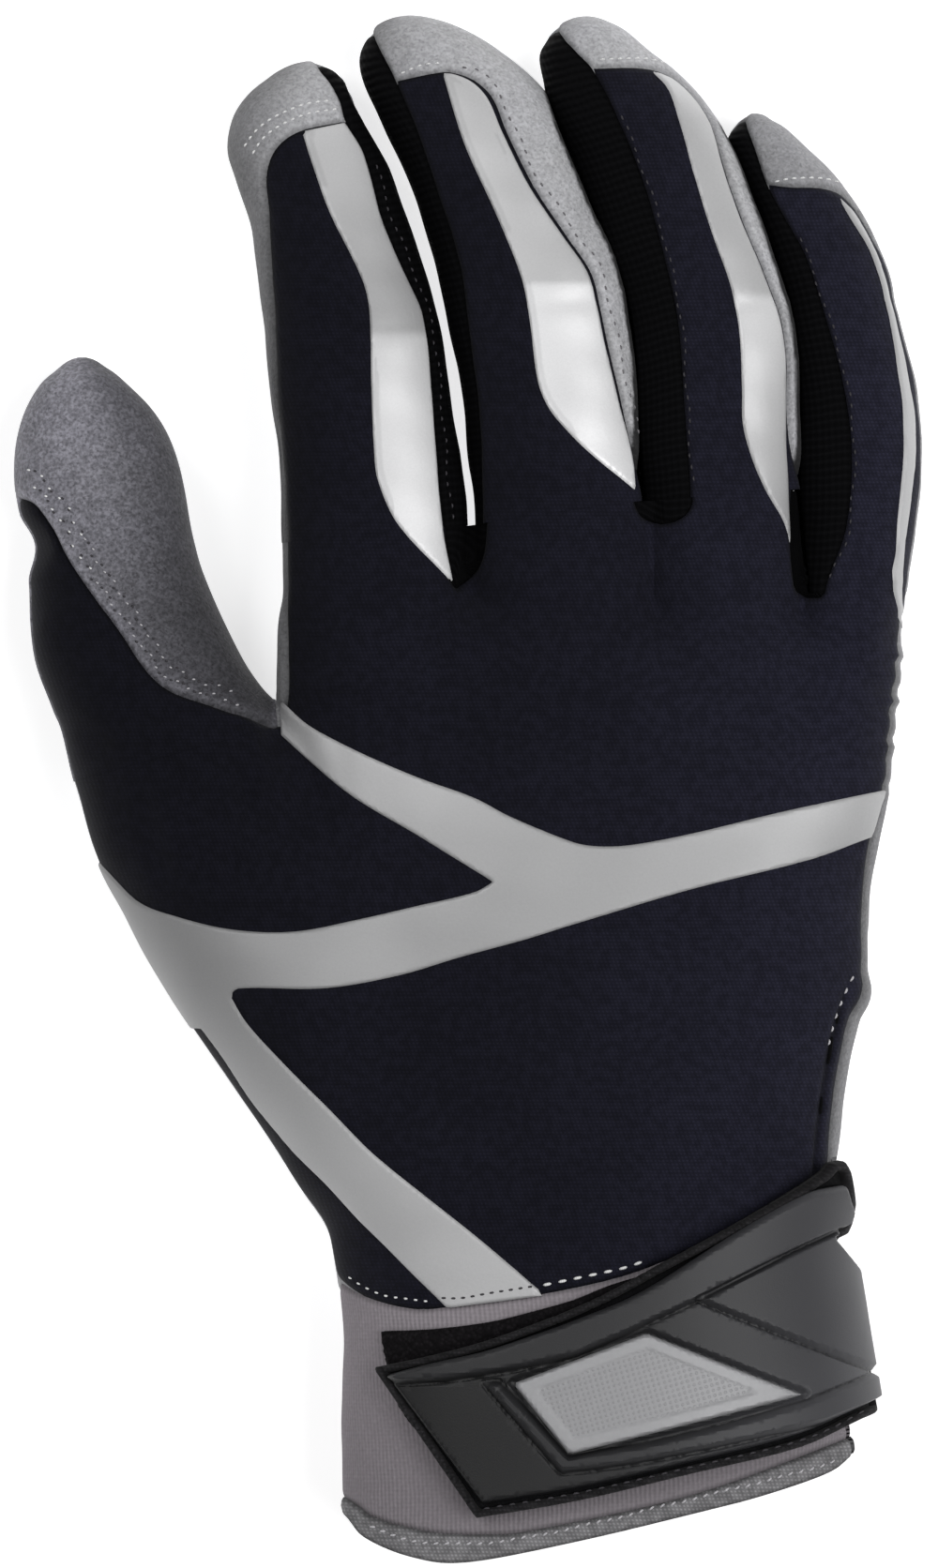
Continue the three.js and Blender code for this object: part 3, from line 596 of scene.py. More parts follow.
FILMS = {
    "index": [
        [322, 140], [368, 130], [388, 166], [408, 239], [438, 305], [450, 336], [458, 393], [464, 468],
        [472, 567], [483, 623], [425, 561], [403, 513], [399, 480], [396, 412], [394, 331], [386, 298],
        [351, 226], [332, 172],
    ],
    "middle": [
        [472, 78], [484, 79], [504, 88], [520, 106], [535, 141], [565, 201], [601, 254], [628, 297],
        [644, 364], [658, 425], [674, 490], [677, 524], [629, 485], [601, 457], [584, 435], [573, 407],
        [565, 345], [556, 298], [530, 232], [500, 166], [488, 133],
    ],
    "ring": [
        [694, 76], [716, 84], [741, 106], [758, 134], [768, 173], [788, 233], [814, 293], [828, 333],
        [836, 382], [837, 476], [839, 532], [841, 583], [834, 558], [816, 526], [801, 491], [791, 453],
        [790, 417], [787, 352], [778, 305], [759, 252], [739, 186], [725, 133], [712, 96],
    ],
    "little": [
        [893, 208], [913, 228], [930, 262], [944, 300], [959, 359], [971, 417], [975, 447], [975, 488],
        [969, 550], [962, 612], [960, 673], [953, 640], [951, 610], [955, 588], [957, 547], [962, 488],
        [962, 432], [956, 390], [948, 340], [938, 300], [924, 262], [905, 228],
    ],
}
THUMB_BACK = [
    [28, 534], [50, 556], [70, 593], [93, 627], [126, 671], [157, 716], [180, 736], [210, 747], [253, 761],
    [320, 782], [320, 900], [-60, 900], [-60, 520],
]
# Where the back meets the cuff, and the vent's edge.
CUFF_LINE = [[387, 1382], [439, 1394], [476, 1392], [577, 1378], [684, 1352], [830, 1288], [882, 1262]]
VENT_LINE = [[883, 1238], [887, 1187], [902, 1101], [911, 1072], [919, 1040], [921, 980], [924, 932]]
HAND_BACK = [
    [302, 540], [304, 590], [305, 640], [305, 745], [302, 765], [300, 774], [240, 760], [-60, 800],
    [-60, 1000], [240, 1330], [340, 1352],
    *CUFF_LINE,
    *VENT_LINE,
    [930, 885], [940, 845], [945, 826], [948, 790], [953, 745], [958, 700], [965, 655], [1040, 620],
    [1040, 500], [600, 400],
]
VENT_EDGE = [
    [882, 1262],
    *VENT_LINE,
    [931, 880], [941, 845], [932, 845], [924, 880], [916, 932], [912, 980], [911, 1034], [899, 1066],
    [888, 1098], [873, 1187], [868, 1238], [868, 1266],
]
VENT = [
    [918, 1048], [960, 1042], [1040, 1042], [1040, 1300], [876, 1300], [877, 1250], [880, 1187],
    [896, 1096],
]
VENT_TOP_SHARE, GUSSET_LOW_SHARE = 0.7, 0.22
SLIT = [[840, 1250], [1040, 1180], [1040, 1740], [840, 1740]]
SLIT_SHARES = (0.42, 0.58)
BAND = [
    [300, 747], [331, 774], [379, 800], [443, 828], [506, 851], [544, 871], [608, 897], [633, 902],
    [671, 901], [735, 889], [831, 866], [942, 842], [928, 892], [863, 916], [735, 948], [608, 986],
    [560, 1001], [490, 1020], [427, 1039], [347, 1053], [256, 1053], [246, 1060], [264, 1090], [300, 1130],
    [347, 1176], [400, 1230], [500, 1310], [581, 1379], [477, 1393], [360, 1275], [290, 1200], [215, 1095],
    [180, 1100], [60, 960], [108, 918], [146, 959], [188, 977], [251, 991], [315, 993], [379, 981],
    [443, 966], [506, 951], [526, 940], [490, 918], [443, 889], [379, 851], [331, 812], [300, 784],
]
HEEL_PATCH = [
    [420, 1130], [500, 1070], [640, 1045], [780, 1065], [850, 1130], [862, 1240], [835, 1340], [700, 1378],
    [500, 1378], [405, 1330], [392, 1210],
]
CUFF_TOP_BACK = [[200, 1352], [320, 1352], *CUFF_LINE, [1000, 1215]]
CUFF_TOP_PALM = [[200, 1370], [320, 1370], [420, 1398], [560, 1408], [700, 1398], [820, 1370], [1000, 1330]]
HEM_SEAM = [
    [200, 1560], [300, 1575], [372, 1600], [399, 1617], [459, 1631], [523, 1633], [577, 1627], [735, 1592],
    [880, 1542], [1000, 1500],
]
HEM = [
    [200, 1575], [300, 1590], [362, 1612], [388, 1638], [439, 1658], [498, 1663], [617, 1640], [735, 1612],
    [814, 1592], [886, 1568], [921, 1545], [1000, 1520],
]
CROTCHES = [
    [[474, 540], [520, 520], [517, 565], [512, 595], [500, 618], [489, 629], [482, 620], [478, 590]],
    [
        [660, 500], [735, 490], [735, 520], [737, 535], [731, 548], [717, 557], [700, 560], [687, 553],
        [679, 541], [674, 525],
    ],
    [
        [846, 480], [905, 500], [901, 575], [893, 605], [884, 625], [872, 638], [858, 638], [849, 629],
        [845, 605], [842, 560],
    ],
]
BESIDE, FAR_UP = 50, 400  # how far past an open line's ends, and up to where, its area reaches


def line_field(p, line):
    """How far plan points lie above an open line from left to right, in millimetres."""
    points = place(line)
    left, right = points[0][0] - BESIDE, points[-1][0] + BESIDE
    corners = [[right, points[-1][1]], [right, FAR_UP], [left, FAR_UP], [left, points[0][1]]]
    return outline_field(p, np.vstack([points, corners]))


def smooth_line(line, steps=5):
    """An open line in pixels, curved through its points."""
    return catmull(np.array(line, float), steps)


def wave(p, *waves):
    """A sum of plain waves over the plan or space: each has a height, a direction and wavelength, a phase."""
    out = np.zeros(len(p))
    for height, direction, length, phase in waves:
        d = np.asarray(direction, float)
        out += height * np.sin(2 * np.pi * (p @ (d / np.linalg.norm(d))) / length + phase)
    return out


def bump_at(p, middle_px, radius):
    """1 at a place of the picture, falling to 0 at the radius in millimetres."""
    d = np.linalg.norm(p[:, :2] - place(middle_px)[0], axis=1) / radius
    return np.clip(1 - d * d, 0, 1) ** 2


def creases(p, start_px, end_px, width, depth, bow=0.0):
    """A soft crease along a line of the picture, below the skin by depth at its middle."""
    a, b = place(start_px)[0], place(end_px)[0]
    d = b - a
    length = np.linalg.norm(d)
    t = (p[:, :2] - a) @ d / length**2
    side = ((p[:, 0] - a[0]) * d[1] - (p[:, 1] - a[1]) * d[0]) / length
    side = side + bow * 4 * t * (1 - t)
    ends = np.clip(1 - (2 * t - 1) ** 2, 0, 1)
    return -depth * ends * np.exp(-((side / width) ** 2))


def relief(v):
    """Soft folds of the cloth and leather: what the skin moves along its normal, in millimetres."""
    out = wave(
        v,
        (0.10, (1, 0.4, 0.2), 31, 0.4),
        (0.09, (-0.5, 1, 0.3), 23, 1.9),
        (0.05, (0.8, -0.7, 0.5), 13, 0.7),
        (0.03, (0.2, 1, -0.6), 7.3, 2.2),
    )
    web = bump_at(v, (250, 850), 24)
    out += web * wave(v, (0.35, (1, 0.55, 0), 9, 0.3), (0.2, (0.9, 0.2, 0), 5.2, 1.1))
    out += creases(v, (300, 778), (180, 905), 2.4, 0.8, 2) + creases(v, (298, 790), (250, 930), 2.0, 0.6, -2)
    out += creases(v, (330, 800), (330, 900), 3, 0.35) + creases(v, (120, 800), (60, 760), 2.5, 0.5)
    out += creases(v, (130, 700), (45, 665), 2.6, 0.45) + creases(v, (175, 770), (75, 745), 2.6, 0.35)
    edge = np.clip(1 - np.abs(v[:, 0] - 64.5) / 6, 0, 1) * np.clip(1 - np.abs(v[:, 1] - 16) / 20, 0, 1)
    out += edge * wave(v, (0.42, (0.15, 1, 0), 3.7, 0), (0.2, (-0.2, 1, 0), 2.3, 1))
    out += 1.2 * bump_at(v, (928, 1062), 4.5) - 1.7 * bump_at(v, (26, 583), 5.5)
    for x in (395, 600, 780, 915):
        out += creases(v, (x - 60, 330 if x > 500 else 360), (x + 60, 318 if x > 500 else 350), 1.6, 0.22)
    return out


BODY_LOW, BODY_HIGH = (-73, -126, -3), (73, 70, 42)
BODY_PITCH, FINGER_PITCH, WRIST_PITCH = 1.0, 0.8, 0.75
body = meshed(glove_field, BODY_LOW, BODY_HIGH, BODY_PITCH)

# How far round a flat oval, in half widths, an angle from its top is.
TURNS = np.linspace(-math.pi, math.pi, 721)
ARC = np.cumsum(np.hypot(np.cos(TURNS), 0.5 * np.sin(TURNS))) * (TURNS[1] - TURNS[0])
ARC -= ARC[len(ARC) // 2]


def prepare(skin, main=None):
    """Gives a skin what all its pieces share: the level above the widest line, then its soft relief."""
    plan, z = skin.v[:, :2], skin.v[:, 2]
    names = [main] if main else list(tubes)
    weights, wide, low, high, along, across, around = 0, 0, 0, 0, 0, 0, 0
    for n in names:
        c = tubes[n].columns(plan)
        w = np.exp(-np.clip(np.abs(tube_field(c, z)), 0, 30) / 1.2) + 1e-12
        weights = weights + w
        low, wide, high = low + w * c[:, 2], wide + w * c[:, 3], high + w * c[:, 4]
        along, across = along + w * c[:, 5], across + w * c[:, 0] / c[:, 1]
        turn = np.arctan2(c[:, 0] / c[:, 1], (z - c[:, 3]) / (c[:, 4] - c[:, 3]))
        around = around + w * np.interp(turn, TURNS, ARC) * c[:, 1]
    low, wide, high = low / weights, wide / weights, high / weights
    skin.f["level"] = z - wide
    skin.f["share"] = (z - low) / (high - low)
    skin.f["depth"] = high - low
    skin.f["along"], skin.f["across"], skin.f["around"] = along / weights, across / weights, around / weights
    skin.plan = plan.copy()
    skin.v = skin.v + skin.n * relief(skin.v)[:, None]
    skin.n = point_normals(skin.v, skin.t)
    return skin


prepare(body)
p = body.plan
f = body.f
f["region"] = outline_field(p, place(HAND_AREA))
f["thumb_area"] = outline_field(p, place([[-80, 876], [296, 775], *THUMB_TO_INDEX, [-80, 300]]))
f["thumb_back"] = np.minimum(near(p, smooth_outline(THUMB_BACK), 30), f["level"])
f["back"] = np.minimum(outline_field(p, smooth_outline(HAND_BACK, 60)), f["level"])
side = np.clip(f["level"] / 5 + 0.5, 0, 1)
cuff_back, cuff_palm = (line_field(p, smooth_line(line)) for line in (CUFF_TOP_BACK, CUFF_TOP_PALM))
f["cuff"] = -(cuff_back * side + cuff_palm * (1 - side))
f["hem"] = -line_field(p, smooth_line(HEM_SEAM))
f["end"] = -line_field(p, smooth_line(HEM))
slit_level = np.minimum(f["share"] - SLIT_SHARES[0], SLIT_SHARES[1] - f["share"]) * f["depth"]
f["slit"] = np.minimum(near(p, place(SLIT), 30), slit_level)
vent_level = (f["share"] - VENT_TOP_SHARE) * f["depth"]
f["vent"] = np.minimum(near(p, place(VENT), 30), vent_level)
f["vent_edge"] = np.minimum(near(p, smooth_outline(VENT_EDGE), 30), vent_level)
f["band"] = np.minimum(near(p, smooth_outline(BAND)), f["level"])
f["patch"] = np.minimum(near(p, smooth_outline(HEEL_PATCH)), -f["level"])
f["crotch"] = np.minimum(np.max([near(p, smooth_outline(c)) for c in CROTCHES], axis=0), f["level"])
ROLL = (0.45, 1.1)  # how far beside a seam its rows of points lie


def seam(skin, name):
    """Cuts a skin along a seam, with rows of points beside it for the rolled edges."""
    for level in (0, *ROLL, *(-r for r in ROLL)):
        skin.cut(name, level)


for name in ("region", "end", "slit", "vent"):
    body.cut(name)
body = body.only(
    ((body.middle("region") > 0) | (body.middle("thumb_area") > 0))
    & (body.middle("end") < 0)
    & (body.middle("slit") < 0)
    & ((body.middle("vent") < 0) | (body.middle("vent_edge") > 0))
)
for name in ("hem", "cuff", "back", "crotch", "thumb_back", "vent_edge"):
    seam(body, name)

GAP = 0.06  # between a finger and its divider
LEAN = 0.04  # how far the divider leans over the gap below it, for each millimetre of height
RIBS = {"index": INDEX, "middle": MIDDLE, "ring": RING, "little": LITTLE}


def forward_of(root):
    """The direction in which a finger leaves its root line."""
    across = root[1] - root[0]
    return np.array([-across[1], across[0]]) / np.linalg.norm(across)


fingers, films = {}, {}
for name in FINGERS:
    area = place(areas[name])
    own = place(np.array([rib[:4] for rib in RIBS[name]]).reshape(-1, 2))

    def finger_field(q, z, area=area, name=name):
        inward = like(np.minimum(outline_field(q, area), 20), z)
        side = like(np.sign(tubes[name].columns(q)[:, 0]), z)
        return np.maximum(glove_field(q, z, [name]), GAP - inward - LEAN * side * (z - 12))

    root = place(ROOTS[name])
    low = (own[:, 0].min() - 2, root[:, 1].min() - 9, -2)
    high = (*(own.max(0) + 3), 38)
    skin = prepare(meshed(finger_field, low, high, FINGER_PITCH), name)
    q = skin.plan
    skin.f["root"] = (q - root[0]) @ forward_of(root)
    skin.f["divider"] = outline_field(q, area)
    gusset_level = (skin.f["share"] - GUSSET_LOW_SHARE) * skin.f["depth"]
    skin.f["gusset"] = np.minimum(near(q, smooth_outline(GUSSETS[name])), gusset_level)
    back = np.minimum(near(q, smooth_outline(BACKS[name])), skin.f["level"])
    skin.f["back"] = np.minimum(back, -skin.f["gusset"])
    skin.f["film"] = np.minimum(near(q, smooth_outline(FILMS[name])), skin.f["level"])
    films[name] = skin.copy()
    skin.cut("root")
    skin = skin.only(skin.middle("root") > 0)
    seam(skin, "gusset")
    seam(skin, "back")
    fingers[name] = skin


# Making pieces

FLAT_FROM, FLAT_OVER = 0.9, 0.8  # where, in from its rim, a piece comes to have the skin's own normals
BEND_LENGTH = 16  # how far past a finger's root, in millimetres, bend() works out a line that it does not use
LITTLE_ROOT_END = (975, 630)  # where the little finger's root line ends, for the line that bend() works out


def smooth_step(x):
    """0 below 0, 1 above 1, and a soft rise between them."""
    x = np.clip(x, 0, 1)
    return x * x * (3 - 2 * x)


def rolled(d, plateau, edge, reach=1.1):
    """The height of a panel: plateau inside, edge at its rim, on a round shoulder."""
    return plateau + (edge - plateau) * (1 - np.clip(d / reach, 0, 1)) ** 2


def solid(name, skin, outer, inner, edge, material, tone=None, own_normals=False):
    """A closed piece from a part of a skin: its outside, its inside and the rim between them."""
    count = len(skin.v)
    outside = skin.v + skin.n * np.broadcast_to(outer, count)[:, None]
    inside = skin.v + skin.n * np.broadcast_to(inner, count)[:, None]
    outside[:, 2] = np.maximum(outside[:, 2], 0)
    inside[:, 2] = np.maximum(inside[:, 2], 0.02)
    t = skin.t
    pairs = np.vstack([t[:, [0, 1]], t[:, [1, 2]], t[:, [2, 0]]])
    code = pairs[:, 0].astype(np.int64) * count + pairs[:, 1]
    back = pairs[:, 1].astype(np.int64) * count + pairs[:, 0]
    rim = pairs[~np.isin(code, back)]
    faces = np.vstack([
        t,
        t[:, ::-1] + count,
        np.column_stack([rim[:, 1], rim[:, 0], rim[:, 0] + count]),
        np.column_stack([rim[:, 1], rim[:, 0] + count, rim[:, 1] + count]),
    ])
    own = point_normals(outside, t)
    far = np.clip((edge - FLAT_FROM) / FLAT_OVER, 0, 1)[:, None]
    normal = own if own_normals else own * (1 - far) + skin.n * far
    normal /= np.maximum(np.linalg.norm(normal, axis=1, keepdims=True), 1e-9)
    o = triangles(name, np.vstack([outside, inside]) * M, faces, np.vstack([normal, -skin.n]))
    attribute(o, "rest", np.vstack([skin.v, skin.v]), "FLOAT_VECTOR")
    # tone is painted light and shade for the piece, 1 where none is painted
    tone = np.ones(count) if tone is None else tone
    fields = {"edge": edge, "along": skin.f["along"], "around": skin.f["around"], "tone": tone}
    for key, values in fields.items():
        attribute(o, key, np.concatenate([values, values]))
    o.data.materials.append(material)
    return o


def triangles(name, points, faces, normals=None):
    mesh = bpy.data.meshes.new(name)
    mesh.vertices.add(len(points))
    mesh.vertices.foreach_set("co", points.astype(np.float32).ravel())
    mesh.loops.add(len(faces) * 3)
    mesh.loops.foreach_set("vertex_index", faces.astype(np.int32).ravel())
    mesh.polygons.add(len(faces))
    mesh.polygons.foreach_set("loop_start", np.arange(0, len(faces) * 3, 3, dtype=np.int32))
    mesh.polygons.foreach_set("use_smooth", np.ones(len(faces), bool))
    mesh.update()
    mesh.validate()
    if normals is not None:
        mesh.normals_split_custom_set_from_vertices(normals.astype(np.float32).tolist())
    o = bpy.data.objects.new(name, mesh)
    bpy.context.scene.collection.objects.link(o)
    return o


def attribute(o, name, values, kind="FLOAT"):
    a = o.data.attributes.new(name, kind, "POINT")
    key = "vector" if kind == "FLOAT_VECTOR" else "value"
    a.data.foreach_set(key, np.asarray(values, np.float32).ravel())


def named(o, nodes, slot):
    """Hides the solids that a piece stands for. Its material slot is not used."""
    if nodes:
        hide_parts(*nodes)


def bend(o, finger, *nodes, slot):
    """A piece of a finger or the thumb. Its line past the root is worked out but not used; the piece's
    transform is baked into its mesh and the solids it stands for are hidden.
    """
    root = place(ROOTS[finger])
    if finger == "little":
        root[1] = place(LITTLE_ROOT_END)[0]
    middle = root.mean(0)
    start, end = middle * M, (middle + forward_of(root) * BEND_LENGTH) * M
    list(start)
    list(end)
    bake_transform(o)
    named(o, nodes, slot)


def hold(o, body_name, *nodes, slot):
    """A piece that rides on one body."""
    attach(o, body_name)
    named(o, nodes, slot)


def fit(o, owner, slot):
    """Hands a piece of a finger or the thumb to bend(), or else lets it ride on its owner."""
    (bend if owner in ROOTS else hold)(o, owner, slot=slot)


def trimmed(skin, name, levels):
    """What a skin has inside a field, with rows of points at levels near its rim."""
    for level in levels:
        skin.cut(name, level)
    return skin.only(skin.middle(name) > 0)


def by_column(skin, columns, tones):
    """Tones that change over the picture's columns."""
    return np.interp(skin.v[:, 0], place([[x, 0] for x in columns])[:, 0], tones)


def by_row(skin, rows, tones):
    """Tones that change over the picture's rows."""
    return np.interp(-skin.v[:, 1], -place([[0, y] for y in rows])[:, 1], tones)


# Materials


class Graph:
    """A material's nodes, with short ways to add what these materials need."""

    def __init__(self, name, roughness, metallic=0.0, specular=0.5, **sockets):
        self.material = bpy.data.materials.new(name)
        self.material.use_nodes = True
        self.tree = self.material.node_tree
        self.shader = self.tree.nodes["Principled BSDF"]
        self.set("Roughness", roughness)
        self.set("Metallic", metallic)
        self.set("Specular IOR Level", specular)
        for key, value in sockets.items():
            self.set(key.replace("_", " "), value)

    def set(self, socket, value):
        if isinstance(value, bpy.types.NodeSocket):
            self.tree.links.new(value, self.shader.inputs[socket])
        else:
            self.shader.inputs[socket].default_value = value

    def node(self, kind, inputs=(), **settings):
        n = self.tree.nodes.new(kind)
        for key, value in settings.items():
            setattr(n, key, value)
        for key, value in dict(inputs).items():
            if isinstance(value, bpy.types.NodeSocket):
                self.tree.links.new(value, n.inputs[key])
            else:
                n.inputs[key].default_value = value
        return n

    def read(self, name, vector=False):
        n = self.node("ShaderNodeAttribute", attribute_name=name)
        return n.outputs["Vector" if vector else "Fac"]

    def math(self, operation, a, b=0.0, c=0.0):
        return self.node("ShaderNodeMath", {0: a, 1: b, 2: c}, operation=operation).outputs[0]

    def line(self, value, slope, start):
        """A value times a slope, plus a start."""
        return self.math("MULTIPLY_ADD", value, slope, start)

    def product(self, first, *others):
        """Numbers multiplied from left to right."""
        for other in others:
            first = self.math("MULTIPLY", first, other)
        return first

    def edged(self, tone, reach, darkest):
        """A tone with painted shade that darkens it towards a piece's rim, times the piece's own tone of
        painted light and shade.
        """
        return self.product(tone, self.spread(self.read("edge"), 0.0, reach, darkest, 1.0), self.read("tone"))

    def spread(self, value, low, high, to_low=0.0, to_high=1.0):
        """A value from low to high, moved softly to another range."""
        n = self.node(
            "ShaderNodeMapRange",
            {"Value": value, "From Min": low, "From Max": high, "To Min": to_low, "To Max": to_high},
            interpolation_type="SMOOTHSTEP",
        )
        return n.outputs["Result"]

    def noise(self, where, scale, detail=2.0):
        inputs = {"Vector": where, "Scale": scale, "Detail": detail}
        return self.node("ShaderNodeTexNoise", inputs).outputs["Fac"]

    def cells(self, where, scale):
        return self.node("ShaderNodeTexVoronoi", {"Vector": where, "Scale": scale}).outputs["Distance"]

    def turned(self, where, turn):
        return self.node("ShaderNodeMapping", {"Vector": where, "Rotation": turn}).outputs[0]

    def ripple(self, value, wavelength):
        """A wave between 0 and 1."""
        phase = self.math("MULTIPLY", value, 2 * math.pi / wavelength)
        return self.line(self.math("SINE", phase), 0.5, 0.5)

    def plan(self, where):
        """The x and the y of a place."""
        n = self.node("ShaderNodeSeparateXYZ", {"Vector": where})
        return n.outputs[0], n.outputs[1]

    def mix(self, factor, a, b):
        n = self.node("ShaderNodeMix", {"Factor": factor}, data_type="RGBA")
        for socket, value in ((n.inputs[6], a), (n.inputs[7], b)):
            if isinstance(value, bpy.types.NodeSocket):
                self.tree.links.new(value, socket)
            else:
                socket.default_value = (*value, 1)
        return n.outputs[2]

    def scaled(self, colour, factor):
        """A colour times a number."""
        n = self.node("ShaderNodeVectorMath", {0: colour, "Scale": factor}, operation="SCALE")
        return n.outputs[0]

    def bump(self, height, distance, strength):
        inputs = {"Height": height, "Distance": distance * M, "Strength": strength}
        return self.node("ShaderNodeBump", inputs).outputs[0]


def srgb(*values):
    """Screen values from 0 to 255 as the linear colour that a shader takes."""
    return tuple((v / 255 / 12.92) if v < 10.3 else ((v / 255 + 0.055) / 1.055) ** 2.4 for v in values)


def leather_material(name, colour, dots=0.0):
    g = Graph(name, 0.68, specular=0.2, Sheen_Weight=0.05)
    where = g.read("rest", True)
    grain = g.cells(where, 1.5)
    fine = g.noise(where, 1.9)
    blotch = g.noise(where, 0.09, 3.0)
    pits = g.spread(g.noise(where, 2.3, 1.0), 0.54, 0.70)
    tone = g.product(
        g.line(blotch, 0.26, 0.87),
        g.spread(fine, 0.3, 0.7, 0.86 - dots, 1.14 + dots),
        g.spread(g.noise(where, 0.8), 0.35, 0.65, 0.94 - dots * 0.4, 1.06 + dots * 0.4),
        g.spread(grain, 0.0, 0.45, 0.94, 1.03),
        g.line(pits, -0.14 - dots, 1.0),
    )
    bluish = tuple(c * k for c, k in zip(colour, (0.97, 0.97, 1.02)))
    g.set("Base Color", g.scaled(g.mix(blotch, colour, bluish), g.edged(tone, 0.75, 0.62)))
    g.set("Roughness", g.spread(grain, 0.0, 0.5, 0.56, 0.7))
    height = g.math("ADD", g.math("MULTIPLY", grain, 0.6), g.math("MULTIPLY", fine, 0.5))
    g.set("Normal", g.bump(g.line(pits, -0.5, height), 0.22, 0.55))
    return g.material


def cloth_material(name, colour):
    g = Graph(name, 0.9, specular=0.10, Sheen_Weight=0.035, Sheen_Roughness=0.5)
    where = g.read("rest", True)
    x, y = g.plan(where)
    slanted = g.math("ADD", x, g.math("MULTIPLY", y, 0.35))
    knit = g.math("MULTIPLY", g.ripple(slanted, 0.62), g.ripple(y, 0.55))
    tone = g.product(
        g.line(g.noise(where, 0.06, 3.0), 0.55, 0.72),
        g.line(knit, 0.6, 0.75),
        g.line(g.noise(where, 3.1), 0.3, 0.85),
        g.spread(g.noise(where, 0.7, 3.0), 0.35, 0.65, 0.82, 1.18),
    )
    g.set("Base Color", g.scaled(colour, g.edged(tone, 0.8, 0.45)))
    g.set("Normal", g.bump(knit, 0.07, 0.5))
    return g.material


def rib_material(name, dark, pale, wavelength, depth, along=True, roughness=0.85, specular=0.15):
    """Ribs that run round the glove, or along it, with finer ones across them."""
    g = Graph(name, roughness, specular=specular)
    where = g.read("rest", True)
    line, other = (g.read(key) for key in (("along", "around") if along else ("around", "along")))
    rib = g.ripple(g.line(g.noise(where, 0.25), 0.5, line), wavelength)
    height = g.line(g.ripple(other, wavelength * 0.8), 0.3, rib)
    tone = g.edged(g.line(g.noise(where, 1.7, 3.0), 0.4, 0.8), 0.9, 0.6)
    g.set("Base Color", g.scaled(g.mix(g.math("MULTIPLY", height, 0.77), dark, pale), tone))
    g.set("Normal", g.bump(height, depth, 0.7))
    return g.material


def film_material(name, colour, roughness):
    g = Graph(name, roughness, metallic=0.2)
    where = g.read("rest", True)
    cloud = g.noise(where, 0.05)
    tone = g.product(g.line(g.noise(where, 3.4), 0.14, 0.93), g.line(cloud, 0.14, 0.93))
    g.set("Base Color", g.scaled(colour, g.edged(tone, 0.35, 0.8)))
    g.set("Roughness", g.spread(cloud, 0.3, 0.7, roughness - 0.04, roughness + 0.06))
    g.set("Normal", g.bump(g.noise(where, 1.5), 0.05, 0.35))
    return g.material


def rubber_material(name, colour):
    g = Graph(name, 0.5, specular=0.35)
    where = g.read("rest", True)
    fine = g.noise(where, 4.0)
    tone = g.product(g.line(fine, 0.12, 0.94), g.line(g.noise(where, 0.08), 0.2, 0.9), g.read("tone"))
    g.set("Base Color", g.scaled(colour, tone))
    g.set("Normal", g.bump(fine, 0.04, 0.4))
    return g.material


def dotted_material(name, colour):
    g = Graph(name, 0.5, metallic=0.15, specular=0.4)
    where = g.read("rest", True)
    x, y = g.plan(g.turned(where, (0, 0, -0.28)))
    dots = g.math("MULTIPLY", g.ripple(x, 0.8), g.ripple(y, 0.8))
    inner = g.spread(g.read("edge"), 2.0, 2.5)
    dots = g.math("MULTIPLY", g.spread(dots, 0.25, 0.75), inner)
    rim = g.spread(g.read("edge"), 1.5, 2.6, 1.07, 0.97)
    tone = g.product(rim, g.line(dots, -0.07, 1.0), g.line(g.noise(where, 1.3, 3.0), 0.14, 0.93))
    g.set("Base Color", g.scaled(colour, tone))
    g.set("Normal", g.bump(dots, 0.12, 0.5))
    return g.material


def pile_material(name, colour):
    g = Graph(name, 1.0, specular=0.08)
    where = g.read("rest", True)
    loops = g.cells(where, 1.5)
    tone = g.product(g.line(g.noise(where, 1.1, 3.0), 1.2, 0.4), g.spread(loops, 0.0, 0.6, 1.25, 0.6))
    g.set("Base Color", g.scaled(colour, tone))
    g.set("Normal", g.bump(loops, 0.4, 0.8))
    return g.material


def thread_material(name, level):
    """Thread with a twist along it."""
    g = Graph(name, 0.6, specular=0.3)
    g.set("Base Color", g.scaled(srgb(*level), g.line(g.ripple(g.read("along"), 0.3), 0.25, 0.8)))
    return g.material


LEATHER = leather_material("leather", srgb(168, 168, 169))
THUMB_LEATHER = leather_material("thumb_leather", srgb(124, 123, 129), 0.16)
CLOTH = cloth_material("stretch_cloth", srgb(25, 25, 36))
MESH_CLOTH = rib_material("gusset_mesh", srgb(1, 1, 2), srgb(8, 8, 10), 1.25, 0.3, specular=0.08)
FILM = film_material("silver_film", srgb(186, 186, 187), 0.46)
BAND_FILM = film_material("silver_band", srgb(176, 176, 177), 0.5)
KNIT_COLOURS = srgb(124, 119, 123), srgb(135, 129, 134)
KNIT = rib_material("knit", *KNIT_COLOURS, 0.72, 0.12, along=False, roughness=0.9)
BINDING = cloth_material("hem_binding", srgb(124, 123, 125))
EDGE_CLOTH = cloth_material("edge_binding", srgb(9, 9, 11))
PILE = pile_material("loop_pile", srgb(27, 25, 27))
STRAP_CLOTH = cloth_material("strap_cloth", srgb(14, 14, 16))
PIPING = cloth_material("strap_piping", srgb(44, 43, 45))
RUBBER = rubber_material("strap_rubber", srgb(58, 58, 61))
INSET = dotted_material("inset_plate", srgb(148, 148, 150))
WHITE_THREAD = thread_material("white_thread", (232, 232, 232))
GREY_THREAD = thread_material("grey_thread", (190, 188, 192))
SHADE_THREAD = thread_material("shade_thread", (112, 110, 113))
DARK_THREAD = thread_material("dark_thread", (58, 56, 60))

# The fingers and the thumb

